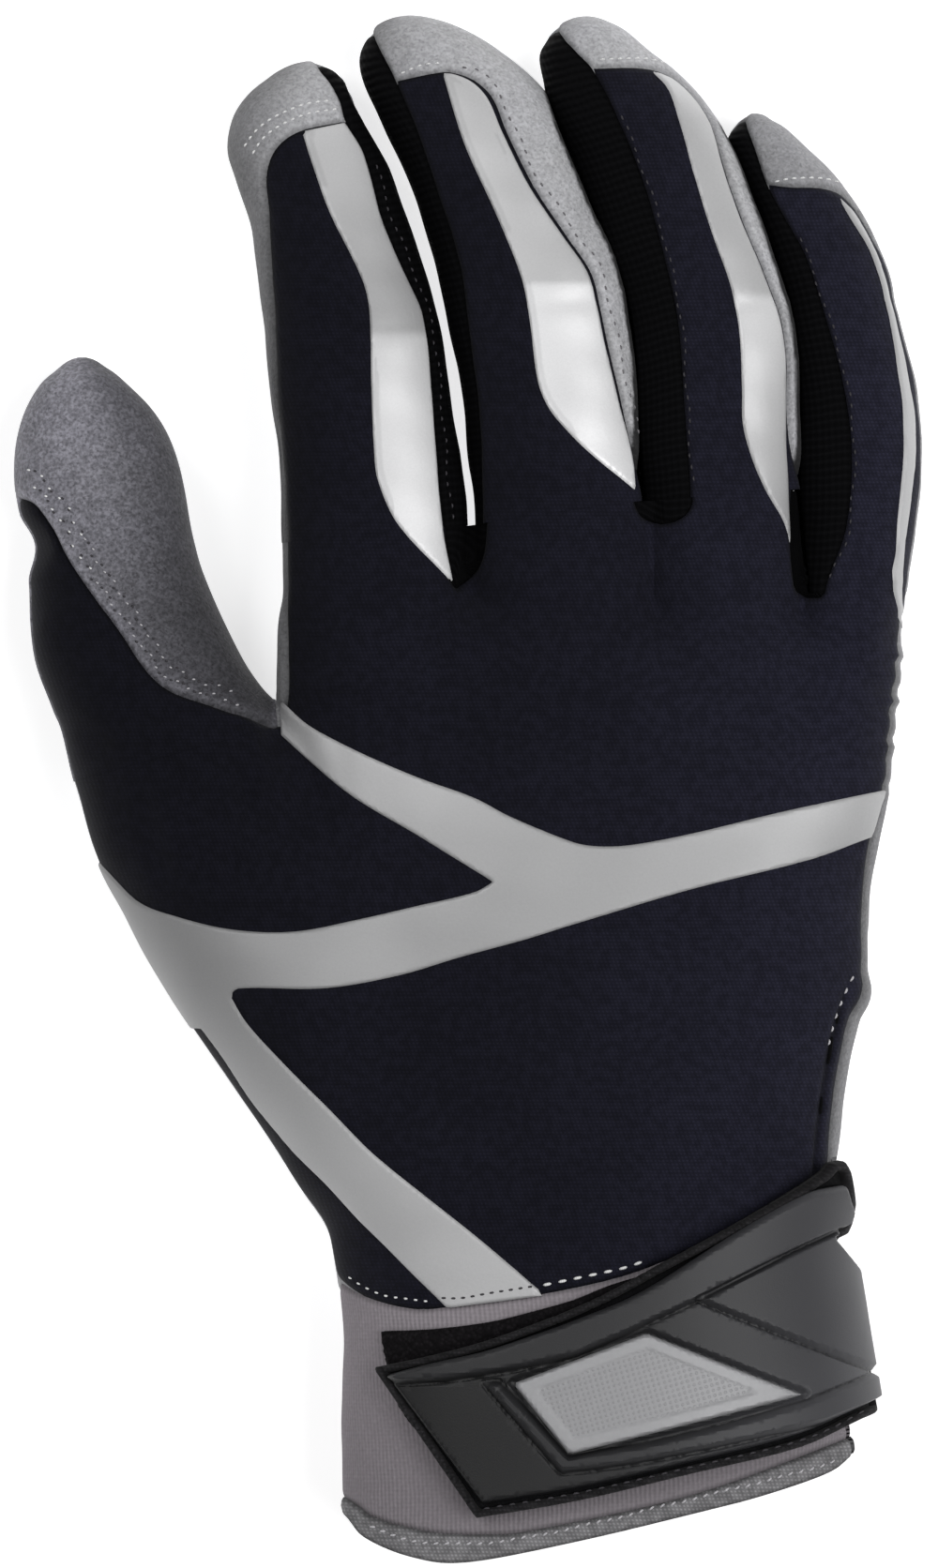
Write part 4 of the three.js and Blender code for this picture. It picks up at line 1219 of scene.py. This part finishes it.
FILM_SHADES = {  # picture rows, and the painted highlights and painted shade on the film there
    "index": ([140, 200, 300, 352, 362, 560], [1.25, 1.05, 0.74, 0.76, 1.25, 1.45]),
    "middle": ([78, 200, 300, 307, 420, 500], [1.2, 1.08, 1.02, 1.52, 1.5, 1.72]),
    "ring": ([76, 130, 312, 322, 420, 560], [1.3, 1.0, 0.95, 1.4, 1.08, 0.8]),
    "little": ([200, 400, 640], [0.95, 1.0, 0.9]),
}
# Painted shade: a factor on each finger's painted leather tone, darker for the little finger
LEATHER_SHADES = {"index": 1, "middle": 0.97, "ring": 1, "little": 0.66}
ACROSS = (-1, -0.6, 0, 0.5, 1)  # where, from a finger's left to its right, the leather's painted light and shade are given
CLOTH_RISE, MESH_RISE = (0, -0.5), (-0.25, -0.7)  # heights of a panel over the skin, at its middle and rim
MESH_INSIDE, FOLD_INSIDE = -1.3, -1.7


def cloth_tone(skin):
    """The light of the studio reaches the little finger's side of the cloth more than the thumb's."""
    return by_column(skin, (100, 300, 400, 550, 700, 850, 950), (0.46, 0.52, 0.7, 0.7, 0.98, 1.3, 1.4))


def film_tone(skin, finger, d):
    """Painted light on a finger's film: painted highlights and shade. Its painted highlights are a little
    dimmer near the rim on the left.
    """
    tone = by_row(skin, *FILM_SHADES[finger])
    dimmer = tone * (0.86 + 0.14 * smooth_step((d - 1.0) / 0.4))
    return np.where((tone > 1.05) & (skin.f["across"] < 0.2), dimmer, tone)


for name in FINGERS:
    skin = fingers[name]
    gusset, back = skin.middle("gusset"), skin.middle("back")
    part = skin.only(gusset > 0)
    d = part.f["gusset"]
    o = solid(f"{name}_gusset_mesh", part, rolled(d, *MESH_RISE), MESH_INSIDE, d, MESH_CLOTH)
    bend(o, name, f"{name}_gusset", slot="mesh")
    part = skin.only(back > 0)
    d = part.f["back"]
    o = solid(f"{name}_back_cloth", part, rolled(d, *CLOTH_RISE), -WALL, d, CLOTH, cloth_tone(part))
    bend(o, name, f"{name}_back", slot="cloth")
    part = skin.only((gusset < 0) & (back < 0))
    d = -np.maximum(part.f["gusset"], part.f["back"])
    # Painted light and shade on the finger leather: darker on the left side and lighter on the right, as the
    # lamps fall, on the upper part only.
    shade = np.interp(part.f["across"], ACROSS, (0.32, 0.66, 1, 1.1, 1.25)) * LEATHER_SHADES[name]
    shade = 1 + (shade - 1) * smooth_step((part.f["level"] + 6) / 7)
    # Painted shade: the leather goes nearly black next to the divider, in the narrow gap between fingers.
    shade = shade * (0.06 + 0.94 * smooth_step((part.f["divider"] - 0.12) / 0.22))
    o = solid(f"{name}_leather_skin", part, rolled(d, 0.3, -0.35), -WALL, d, LEATHER, shade)
    bend(o, name, f"{name}_leather", slot="leather")
    film = trimmed(films[name], "film", (0, 0.3, 0.7, 1.0, 1.4))
    d = film.f["film"]
    shade = film_tone(film, name, d)
    o = solid(f"{name}_film_stripe", film, 0.12 + rolled(d, 0.3, 0, 0.4), 0.02, d, FILM, shade, True)
    nodes = [f"{name}_film"] + ([] if name == "middle" else [f"{name}_film_root"])
    bend(o, name, *nodes, slot="film")

region, thumb = body.middle("region"), body.middle("thumb_area")
is_thumb = (region < 0) & (thumb > 0)
part = body.only(is_thumb & (body.middle("thumb_back") > 0))
d = part.f["thumb_back"]
o = solid("thumb_back_cloth", part, rolled(d, *CLOTH_RISE), -WALL, d, CLOTH, cloth_tone(part))
bend(o, "thumb", "thumb_back", slot="cloth")
part = body.only(is_thumb & (body.middle("thumb_back") < 0))
d = -part.f["thumb_back"]
# Painted light and shade on the thumb's leather: darker towards the hand and on its right side, where shade
# falls near the index finger. It is also lighter in a band just in from its rim.
shade = by_row(part, (400, 480, 560, 650, 740), (1.12, 1.08, 0.86, 0.6, 0.46))
shade = shade * np.interp(part.f["across"], (-1, -0.4, 0, 0.5, 1), (0.85, 1, 0.93, 0.54, 0.32))
shade = shade * (1 + 0.5 * np.exp(-((d - 0.6) ** 2)))
o = solid("thumb_leather_skin", part, rolled(d, 0.35, -0.35), -WALL, d, THUMB_LEATHER, shade)
bend(o, "thumb", "thumb_leather", slot="thumb_leather")

# The hand

is_hand = region > 0
hem, cuff = body.middle("hem") > 0, body.middle("cuff") > 0
binding = body.middle("vent_edge") > 0
back = body.middle("back") > 0
crotch = body.middle("crotch") > 0
part = body.only(is_hand & crotch)
d = part.f["crotch"]
o = solid("gusset_ends", part, rolled(d, *MESH_RISE), MESH_INSIDE, d, MESH_CLOTH)
hold(o, "hand", slot="mesh")
part = body.only(is_hand & ~hem & ~cuff & ~binding & back & ~crotch)
d = np.min([part.f["back"], -part.f["cuff"], -part.f["vent_edge"], -part.f["crotch"]], axis=0)
o = solid("back_cloth", part, rolled(d, 0.1, -0.35), -WALL, d, CLOTH, cloth_tone(part))
hold(o, "hand", "back_panel", slot="cloth")
part = body.only(is_hand & ~hem & ~cuff & ~binding & ~back)
d = np.minimum(-part.f["back"], -part.f["cuff"])
# Painted shade on the palm's leather: darker on its upper part beside the thumb and beside the little finger,
# where the sides turn from the lamps.
upper = smooth_step((part.f["level"] + 6) / 7)
x, y = part.v[:, 0], part.v[:, 1]
(left, lower), (right, upmost) = place([[322, 800], [850, 650]])
inner_side = smooth_step((left - x) / 3) * smooth_step((y - lower) / 8)
outer_side = smooth_step((x - right) / 3) * smooth_step((upmost - y) / 14)
shade = 1 - upper * (0.5 * inner_side + 0.5 * outer_side)
o = solid("palm_leather_skin", part, rolled(d, 0.2, -0.4), -WALL, d, LEATHER, shade)
hold(o, "hand", "palm_leather", slot="leather")
part = body.only(is_hand & ~hem & binding)
d = part.f["vent_edge"]
o = solid("vent_edge_fold", part, rolled(d, 0.75, 0.1), FOLD_INSIDE, d, EDGE_CLOTH)
hold(o, "hand", "vent_binding", slot="binding")
part = body.only(is_hand & ~hem & cuff)
d = np.minimum(part.f["cuff"], -part.f["hem"])
# Painted shade: the knit is lighter near its top and darker towards the hem.
shade = by_row(part, (1400, 1500, 1590), (1.09, 1.03, 0.9))
o = solid("cuff_knit", part, rolled(d, 0, -0.3), -WALL, d, KNIT, shade)
hold(o, "hand", "cuff", slot="knit")
part = body.only(is_hand & hem)
d = np.minimum(part.f["hem"], -part.f["end"])
o = solid("cuff_hem_fold", part, rolled(d, 0.3, -0.1, 0.9), FOLD_INSIDE, d, BINDING)
hold(o, "hand", "cuff_binding", slot="binding")

band = trimmed(body.only(is_hand & (body.middle("band") > -2) & ~binding), "band", (0, 0.3, 0.7))
d = band.f["band"]
# Painted light and shade on the band's film: darker towards the thumb's side, lighter near its upper and
# lower ends.
shade = by_column(band, (110, 250, 400, 560, 900), (0.52, 0.6, 0.82, 0.81, 0.85))
shade = shade * by_row(band, (760, 900, 1050, 1150, 1250), (1.4, 1.02, 0.98, 1.15, 1.25))
o = solid("hand_band_film", band, 0.22 + rolled(d, 0.3, 0, 0.4), 0.12, d, BAND_FILM, shade, True)
hold(o, "hand", "hand_film", slot="film")
patch = trimmed(body.only(is_hand & (body.middle("patch") > -2)), "patch", (0, 0.5, 1.2))
d = patch.f["patch"]
o = solid("heel_patch_leather", patch, 0.3 + rolled(d, 1.1, 0.1), 0.25, d, LEATHER)
hold(o, "hand", "heel_patch", slot="leather")

# The strap

STRAP = [
    [398, 1456], [466, 1441], [517, 1427], [568, 1409], [609, 1393], [650, 1374], [700, 1347], [760, 1316],
    [814, 1287], [876, 1251], [886, 1240], [900, 1238], [906, 1250], [913, 1294], [902, 1316], [890, 1321],
    [902, 1339], [922, 1356], [1000, 1380], [1000, 1500], [933, 1507], [854, 1540], [735, 1568],
    [617, 1596], [507, 1615],
]
COVER = [
    [413, 1464], [466, 1450], [517, 1438], [568, 1421], [609, 1406], [680, 1376], [782, 1312], [858, 1270],
    [895, 1262], [903, 1292], [897, 1309], [884, 1319], [898, 1338], [918, 1366], [1000, 1392],
    [1000, 1470], [926, 1495], [850, 1526], [732, 1556], [615, 1583], [514, 1600],
]
UPPER_RIDGE = [
    [405, 1464], [466, 1445], [517, 1433], [568, 1416], [609, 1401], [680, 1371], [782, 1306], [858, 1264],
    [910, 1250], [912, 1294], [898, 1306], [887, 1309], [833, 1335], [741, 1383], [680, 1412], [614, 1442],
    [548, 1457], [474, 1469], [430, 1472],
]
FRAME_RIDGE = [
    [517, 1472], [532, 1470], [606, 1550], [640, 1544], [680, 1538], [765, 1518], [853, 1494], [925, 1466],
    [960, 1452], [960, 1482], [935, 1492], [874, 1514], [765, 1538], [680, 1555], [640, 1561], [598, 1566],
]
FACET = [[741, 1383], [887, 1311], [960, 1330], [960, 1476], [927, 1462]]
INSET_AREA = [[547, 1472], [688, 1419], [853, 1485], [606, 1547]]
LOOP_AREA = [
    [404, 1418], [462, 1415], [523, 1407], [564, 1397], [610, 1384], [650, 1368], [700, 1352], [760, 1322],
    [814, 1293], [846, 1278], [862, 1300], [800, 1420], [740, 1500], [620, 1560], [500, 1580], [425, 1500],
    [408, 1440],
]
HOOK_AREA = [[440, 1470], [549, 1450], [640, 1415], [700, 1400], [740, 1530], [617, 1570], [520, 1585]]
EDGING = 1.25
STRAP_LOW_SHARE = 0.44
SPREAD_ROUNDS = 6
wrist = meshed(hand_field, (-17, -120, 9), (66, -55, 40), WRIST_PITCH)
for _ in range(SPREAD_ROUNDS):
    spread = np.zeros_like(wrist.n)
    for axis in range(3):
        mean = wrist.n[:, axis][wrist.t].sum(1)
        spread[:, axis] = np.bincount(wrist.t.ravel(), weights=np.repeat(mean, 3), minlength=len(wrist.n))
    wrist.n = spread / np.linalg.norm(spread, axis=1, keepdims=True)
c = tubes["hand"].columns(wrist.v[:, :2])
lowest = wrist.v[:, 2] - c[:, 2] - STRAP_LOW_SHARE * (c[:, 4] - c[:, 2])
q = (wrist.v + 4 * wrist.n)[:, :2]  # the strap's outlines are the ones that show, on its outside
strap = near(q, smooth_outline(STRAP, 30))
wrist.f = {"along": c[:, 5], "around": c[:, 0], "lowest": lowest}
wrist.f["strap"] = np.minimum(strap, lowest)
wrist.f["tab"] = np.min([strap - 1, lowest + 6, 1.6 - lowest], axis=0)
wrist.f["edging"] = np.minimum(wrist.f["strap"], EDGING - wrist.f["strap"])
wrist.f["base"] = wrist.f["strap"] - EDGING
wrist.f["cover"] = np.minimum(near(q, smooth_outline(COVER, 30)), lowest - 0.6)
wrist.f["upper"] = near(q, place(UPPER_RIDGE))
wrist.f["frame"] = near(q, place(FRAME_RIDGE))
wrist.f["facet"] = near(q, place(FACET))
wrist.f["inset"] = near(q, place(INSET_AREA), 12)
wrist.f["hook"] = np.minimum(near(q, smooth_outline(HOOK_AREA)), lowest - 1)
q = (wrist.v + wrist.n)[:, :2]
wrist.f["loop"] = np.minimum(near(q, smooth_outline(LOOP_AREA)), lowest - 1)
RIDGES = ("upper", "frame", "facet")


def layer(name, field, levels, outer, inner, material, *owner, slot=None, more=(), tone=None):
    """A piece on the wrist: the inside of a field, between two heights over the skin."""
    part = wrist.copy()
    for level in (0, *levels):
        part.cut(field, level)
    for other, at in more:
        part.cut(other, at)
    part = part.only(part.middle(field) > 0)
    shade = tone(part) if tone else None
    o = solid(name, part, outer(part), inner(part), part.f[field], material, shade, True)
    if owner:
        hold(o, *owner, slot=slot)
    return o


def pile(part):
    """The uneven height of hooks and loops."""
    return 0.25 * np.sin(part.v[:, 0] * 5.1 + np.sin(part.v[:, 1] * 3.3)) * np.sin(part.v[:, 1] * 4.7)


def tab_rise(s):
    """0 where the tab is sewn to the cuff, 1 where it reaches the underside of the strap."""
    return smooth_step((s.f["lowest"] + 2.5) / 3)


layer(
    "loop_pad_pile", "loop", (0.4, 1.0), lambda s: 0.35 + rolled(s.f["loop"], 1.1, 0.3) + pile(s),
    lambda s: 0.15, PILE, "hand", "loop_pad", slot="pad",
)
layer(
    "hook_pad_pile", "hook", (0.4, 1.0), lambda s: 2.5,
    lambda s: 2.0 + rolled(s.f["hook"], -0.4, 0) + pile(s) * 0.5, PILE, "strap", "hook_pad", slot="pad",
)
layer(
    "strap_base_cloth", "base", (0.3,), lambda s: 3.5, lambda s: 2.6, STRAP_CLOTH, "strap", "strap_base",
    slot="strap_cloth",
)
root_tab = layer(
    "strap_root_tab", "tab", (0.4, 0.8), lambda s: 1 + 1.1 * tab_rise(s) + rolled(s.f["tab"], 0, -0.4, 0.8),
    lambda s: 0.15 + 1.1 * tab_rise(s), STRAP_CLOTH,
)
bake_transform(root_tab)


def piping_height(s):
    u = np.clip(s.f["strap"] / EDGING, 0, 1) * 2 - 1
    return 3.7 + 1.0 * np.sqrt(np.clip(1 - u * u, 0, 1))


layer(
    "strap_edge_piping", "edging", (0.1, 0.3, 0.5), piping_height,
    lambda s: 2.2 + rolled(s.f["edging"], 0, 0.4, 0.5), PIPING, "strap", "strap_edging", slot="strap_cloth",
)


def groove_at(d):
    """1 in the narrow groove just outside a ridge, 0 elsewhere."""
    return np.clip(1 - np.abs(d + 0.35) / 0.35, 0, 1)


def cover_height(s):
    """The moulded cover: its ridges and facet, the grooves beside them and the well of the inset."""
    rim = rolled(s.f["cover"], 0, -1.0, 0.7)
    upper = 0.9 * np.clip(s.f["upper"] / 0.6, 0, 1)
    ridge = 0.7 * np.clip(s.f["frame"] / 0.6, 0, 1)
    facet = 0.65 * np.clip(s.f["facet"] / 0.5, 0, 1)
    well = -1.0 * smooth_step((s.f["inset"] + 1.0) / 0.8)
    groove = sum(-0.35 * groove_at(s.f[k]) for k in RIDGES)
    return 5.1 + rim + np.maximum(np.maximum(upper, ridge), facet) + well + groove


def cover_tone(s):
    """Painted light and shade on the rubber: darker towards the strap's tip, away from the lamp on the right,
    lighter on its raised band where it catches the light, and darker in the grooves beside the ridges.
    """
    columns = (450, 600, 700, 800, 880)
    tone = by_column(s, columns, [0.1, 0.2, 0.3, 0.7, 1.25])
    band = by_column(s, columns, [0.36, 0.4, 0.48, 0.8, 1.1])
    raised = np.clip(np.maximum(s.f["upper"], s.f["frame"]) / 0.5, 0, 1)
    tone = tone * (1 - raised) + band * raised
    for k in RIDGES:
        tone = tone * (1 - 0.6 * groove_at(s.f[k]))
    return tone


ridge_rows = [(k, at) for k in RIDGES for at in (-0.7, -0.35, 0, 0.6)]
well_rows = [("inset", at) for at in (-1.0, -0.6, -0.2)]
layer(
    "strap_cover_shell", "cover", (0.25, 0.6), cover_height, lambda s: 3.9, RUBBER, "strap", "strap_cover",
    slot="strap_cover", more=ridge_rows + well_rows, tone=cover_tone,
)
layer(
    "strap_inset_plate", "inset", (0.2, 0.5, 1.9, 2.3),
    lambda s: 4.35 + rolled(s.f["inset"], 0.75, 0, 0.5) - 0.18 * smooth_step((s.f["inset"] - 1.9) / 0.4),
    lambda s: 4.1, INSET, "strap", "strap_inset", slot="inset",
)

# Stitches

RING_SHARES = (0.0, 0.25, 0.5, 0.75, 1.0)
SIDES = 6
PROUD, SUNK = 0.5, 0.3  # how far a thread's middle rises, and its ends lie below, in widths of the thread


def surface_of(*names):
    """What a stitch lies on: a way to drop a plan point onto the named pieces from above."""
    points, faces, start = [], [], 0
    for n in names:
        mesh = bpy.data.objects[n].data
        v = np.empty(len(mesh.vertices) * 3, np.float32)
        mesh.vertices.foreach_get("co", v)
        t = np.empty(len(mesh.polygons) * 3, np.int32)
        mesh.loops.foreach_get("vertex_index", t)
        points.append(v.reshape(-1, 3))
        faces.append(t.reshape(-1, 3) + start)
        start += len(mesh.vertices)
    tree = BVHTree.FromPolygons(np.vstack(points).tolist(), np.vstack(faces).tolist())

    def drop(x, y):
        place_m, normal, _, _ = tree.ray_cast(Vector((x * M, y * M, 0.2)), Vector((0, 0, -1)))
        return (None, None) if place_m is None else (np.array(place_m) / M, np.array(normal))

    return drop


def evenly(line, pitch):
    """Places along a line of picture pixels, a pitch in millimetres apart, and the line's directions."""
    p = place(catmull(np.array(line, float), 8) if len(line) > 2 else line)
    steps = np.linalg.norm(np.diff(p, axis=0), axis=1)
    along = np.concatenate([[0], np.cumsum(steps)])
    at = np.arange(pitch / 2, along[-1], pitch)

    def at_distance(distance):
        return np.column_stack([np.interp(distance, along, p[:, k]) for k in (0, 1)])

    d = at_distance(np.minimum(at + 0.4, along[-1])) - at_distance(np.maximum(at - 0.4, 0))
    return at_distance(at), d / np.linalg.norm(d, axis=1, keepdims=True)


def stitches(name, lines, drop, material, pitch, length, width, slant=0.0, every=1, first=0, stray=0.0):
    """Short threads that rise from the skin and dive into it again at both ends."""
    points, faces, along = [], [], []
    turn = math.radians(slant)
    for line in lines:
        centres, ways = evenly(line, pitch)
        for i, ((x, y), (dx, dy)) in list(enumerate(zip(centres, ways)))[first::every]:
            x, y = x - dy * stray * math.sin(7.3 * i), y + dx * stray * math.sin(7.3 * i)
            dx, dy = dx * math.cos(turn) - dy * math.sin(turn), dx * math.sin(turn) + dy * math.cos(turn)
            hits = [drop(x + dx * (t - 0.5) * length, y + dy * (t - 0.5) * length) for t in RING_SHARES]
            if any(h[0] is None for h in hits):
                continue
            start = len(points)
            for t, (spot, normal) in zip(RING_SHARES, hits):
                u = 2 * t - 1
                middle = spot + normal * width * (PROUD * (1 - u**4) - SUNK)
                radius = width / 2 * math.sqrt(1 - 0.75 * u * u)
                side = np.cross(normal, [dx, dy, 0])
                side /= np.linalg.norm(side)
                for k in range(SIDES):
                    a = 2 * math.pi * k / SIDES
                    points.append(middle + radius * (math.cos(a) * side + math.sin(a) * normal))
                    along.append(t * length)
            for r in range(len(RING_SHARES) - 1):
                for k in range(SIDES):
                    a, b = start + r * SIDES + k, start + r * SIDES + (k + 1) % SIDES
                    faces += [(a, b, b + SIDES), (a, b + SIDES, a + SIDES)]
            for r, order in ((0, (0, 2, 1)), (len(RING_SHARES) - 1, (0, 1, 2))):
                for k in range(1, SIDES - 1):
                    ring = (start + r * SIDES, start + r * SIDES + k, start + r * SIDES + k + 1)
                    faces.append(tuple(ring[i] for i in order))
    o = triangles(name, np.array(points) * M, np.array(faces))
    attribute(o, "rest", points, "FLOAT_VECTOR")
    attribute(o, "along", along)
    o.data.materials.append(material)
    return o


SURFACES = {
    "index": surface_of("index_leather_skin", "index_gusset_mesh"),
    "middle": surface_of("middle_leather_skin"),
    "ring": surface_of("ring_leather_skin", "ring_gusset_mesh", "ring_back_cloth"),
    "little": surface_of("little_leather_skin", "little_gusset_mesh", "little_back_cloth"),
    "thumb": surface_of("thumb_leather_skin"),
    "hand": surface_of("back_cloth", "hand_band_film", "vent_edge_fold"),
    "hem": surface_of("cuff_hem_fold"),
    "strap": surface_of("strap_edge_piping", "strap_cover_shell"),
}
THUMB_ROWS = [
    [[34, 517], [58, 543], [80, 583], [102, 619], [134, 662], [164, 706], [184, 726], [212, 737], [254, 750]],
    [
        [27, 499], [44, 510], [66, 534], [89, 572], [111, 608], [143, 652], [172, 697], [190, 716],
        [215, 727], [256, 740],
    ],
]
# Each has its name, surface, slot and thread, then pitch, length and width, what is special, and its rows.
SEWN = [
    ("index_cap_stitches", "index", "leather", WHITE_THREAD, (1.35, 0.7, 0.34), {}, [
        [[268, 166], [279, 149], [293, 137], [312, 127], [332, 120], [357, 116]],
        [[259, 158], [272, 140], [288, 127], [308, 117], [328, 110], [356, 106]],
    ]),
    ("index_gusset_stitches", "index", "mesh", DARK_THREAD, (1.7, 0.75, 0.32), {"stray": 0.25}, [
        [[400, 172], [413, 218], [428, 258], [450, 312], [461, 350], [468, 400], [474, 470], [482, 556]],
    ]),
    ("middle_side_stitches", "middle", "leather", SHADE_THREAD, (1.9, 0.75, 0.3), {"stray": 0.3}, [[
        [489, 70], [512, 78], [533, 98], [548, 137], [578, 197], [614, 248], [641, 291], [658, 362],
        [671, 420], [684, 478],
    ]]),
    ("middle_cap_stitches", "middle", "leather", WHITE_THREAD, (1.4, 0.7, 0.3), {}, [
        [[425, 79], [450, 69], [470, 67]],
    ]),
    ("ring_cap_stitches", "ring", "leather", WHITE_THREAD, (1.35, 0.7, 0.32), {}, [
        [[638, 63], [665, 62], [692, 62], [722, 71], [746, 92]],
    ]),
    ("ring_gusset_stitches", "ring", "mesh", DARK_THREAD, (1.8, 0.8, 0.32), {"stray": 0.25}, [
        [[661, 120], [690, 194], [711, 268], [726, 340], [732, 420], [738, 520]],
    ]),
    ("little_cap_stitches", "little", "leather", WHITE_THREAD, (1.35, 0.75, 0.32), {}, [
        [[824, 194], [846, 190], [879, 190], [903, 197], [920, 212]],
    ]),
    ("little_gusset_stitches", "little", "mesh", DARK_THREAD, (1.8, 0.8, 0.32), {"stray": 0.25}, [
        [[852, 250], [878, 322], [899, 395], [910, 470], [905, 560], [884, 620]],
    ]),
    (
        "thumb_bright_stitches", "thumb", "thumb_leather", WHITE_THREAD, (1.1, 0.5, 0.32),
        {"slant": 18, "every": 2, "stray": 0.35}, [row[:4] for row in THUMB_ROWS],
    ),
    # The same white thread as the bright stitches, painted grey in shade where the rows run onto the darker
    # lower thumb.
    (
        "thumb_pale_stitches", "thumb", "thumb_leather", GREY_THREAD, (1.0, 0.5, 0.28),
        {"slant": 18, "every": 2, "stray": 0.35}, [row[3:] for row in THUMB_ROWS],
    ),
    (
        "thumb_dark_stitches", "thumb", "thumb_leather", DARK_THREAD, (1.0, 0.55, 0.36),
        {"slant": 18, "every": 2, "first": 1, "stray": 0.4}, THUMB_ROWS,
    ),
    ("back_hem_specks", "hand", "cloth", WHITE_THREAD, (1.55, 0.6, 0.34), {}, [
        [[369, 1359], [388, 1371], [410, 1380], [432, 1383], [457, 1386]],
    ]),
    ("back_hem_dashes", "hand", "cloth", WHITE_THREAD, (2.4, 1.35, 0.5), {}, [
        [[575, 1369], [599, 1364], [632, 1357], [664, 1350], [688, 1342]],
    ]),
    ("band_end_stitches", "hand", "film", DARK_THREAD, (1.5, 0.75, 0.34), {}, [
        [[468, 1382], [492, 1382], [520, 1377], [545, 1373], [570, 1369]],
    ]),
    ("vent_stitches", "hand", "cloth", GREY_THREAD, (2.1, 1.0, 0.38), {}, [
        [[911, 1037], [904, 1050], [896, 1068], [889, 1087], [884, 1106], [880, 1124]],
    ]),
    ("hem_stitches", "hem", "binding", GREY_THREAD, (1.7, 0.9, 0.36), {"slant": 24, "stray": 0.1}, [[
        [392, 1624], [412, 1633], [433, 1639], [466, 1643], [500, 1643], [535, 1640], [571, 1634],
        [627, 1622], [688, 1607], [745, 1593], [803, 1579], [860, 1565], [895, 1554],
    ]]),
    ("strap_lower_stitches", "strap", "strap_cloth", DARK_THREAD, (2.0, 1.1, 0.36), {}, [
        [[512, 1606], [617, 1588], [735, 1561], [853, 1533], [922, 1503]],
    ]),
]
for name, on, slot, thread, sizes, more, rows in SEWN:
    fit(stitches(name, rows, SURFACES[on], thread, *sizes, **more), "hand" if on == "hem" else on, slot)

# Floor, light and camera

LONG_SENSOR = 36.0
CAMERA_HEIGHT = 4.0
FRAME_MM = 1672 * MM_PER_PX
AIM_HEIGHT = 0.02
scene = bpy.context.scene


def area_light(name, place_m, size, power):
    data = bpy.data.lights.new(name, "AREA")
    data.shape = "RECTANGLE"
    data.size, data.size_y = size
    data.energy = power
    o = bpy.data.objects.new(name, data)
    o.location = place_m
    o.rotation_euler = (Vector((0, 0, AIM_HEIGHT)) - Vector(place_m)).to_track_quat("-Z", "Y").to_euler()
    scene.collection.objects.link(o)


floor_mesh = bpy.data.meshes.new("floor")
floor_mesh.from_pydata([(-3, -3, 0), (3, -3, 0), (3, 3, 0), (-3, 3, 0)], [], [(0, 1, 2, 3)])
floor = bpy.data.objects.new("floor", floor_mesh)
scene.collection.objects.link(floor)
paper = Graph("floor_paper", 0.95, specular=0.1)
grain = paper.noise(paper.node("ShaderNodeTexCoord").outputs["Object"], 9.0)
paper.set("Base Color", paper.mix(grain, (0.78, 0.78, 0.78), (0.82, 0.82, 0.82)))
paper.set("Emission Color", (1, 1, 1, 1))
paper.set("Emission Strength", 0.6)
floor_mesh.materials.append(paper.material)
floor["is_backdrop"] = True

area_light("right", (2.2, -0.3, 3.7), (2.6, 2.6), 118)
area_light("left", (-1.9, 1.3, 3.9), (2.0, 2.0), 66)

world = bpy.data.worlds.new("studio")
world.use_nodes = True
world.node_tree.nodes["Background"].inputs["Color"].default_value = (1, 1, 1, 1)
world.node_tree.nodes["Background"].inputs["Strength"].default_value = 0.2
scene.world = world
scene.view_settings.view_transform = "Standard"

camera_data = bpy.data.cameras.new("camera")
camera_data.type = "PERSP"
camera_data.sensor_fit = "VERTICAL"
camera_data.sensor_height = LONG_SENSOR
camera_data.sensor_width = LONG_SENSOR
camera_data.lens = LONG_SENSOR * CAMERA_HEIGHT / (FRAME_MM * M)
camera_data.clip_start, camera_data.clip_end = 0.1, 20
camera = bpy.data.objects.new("camera", camera_data)
centre = place([500, 836])[0]
camera.location = (centre[0] * M, centre[1] * M, CAMERA_HEIGHT + AIM_HEIGHT)
scene.collection.objects.link(camera)
scene.camera = camera

low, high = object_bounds()
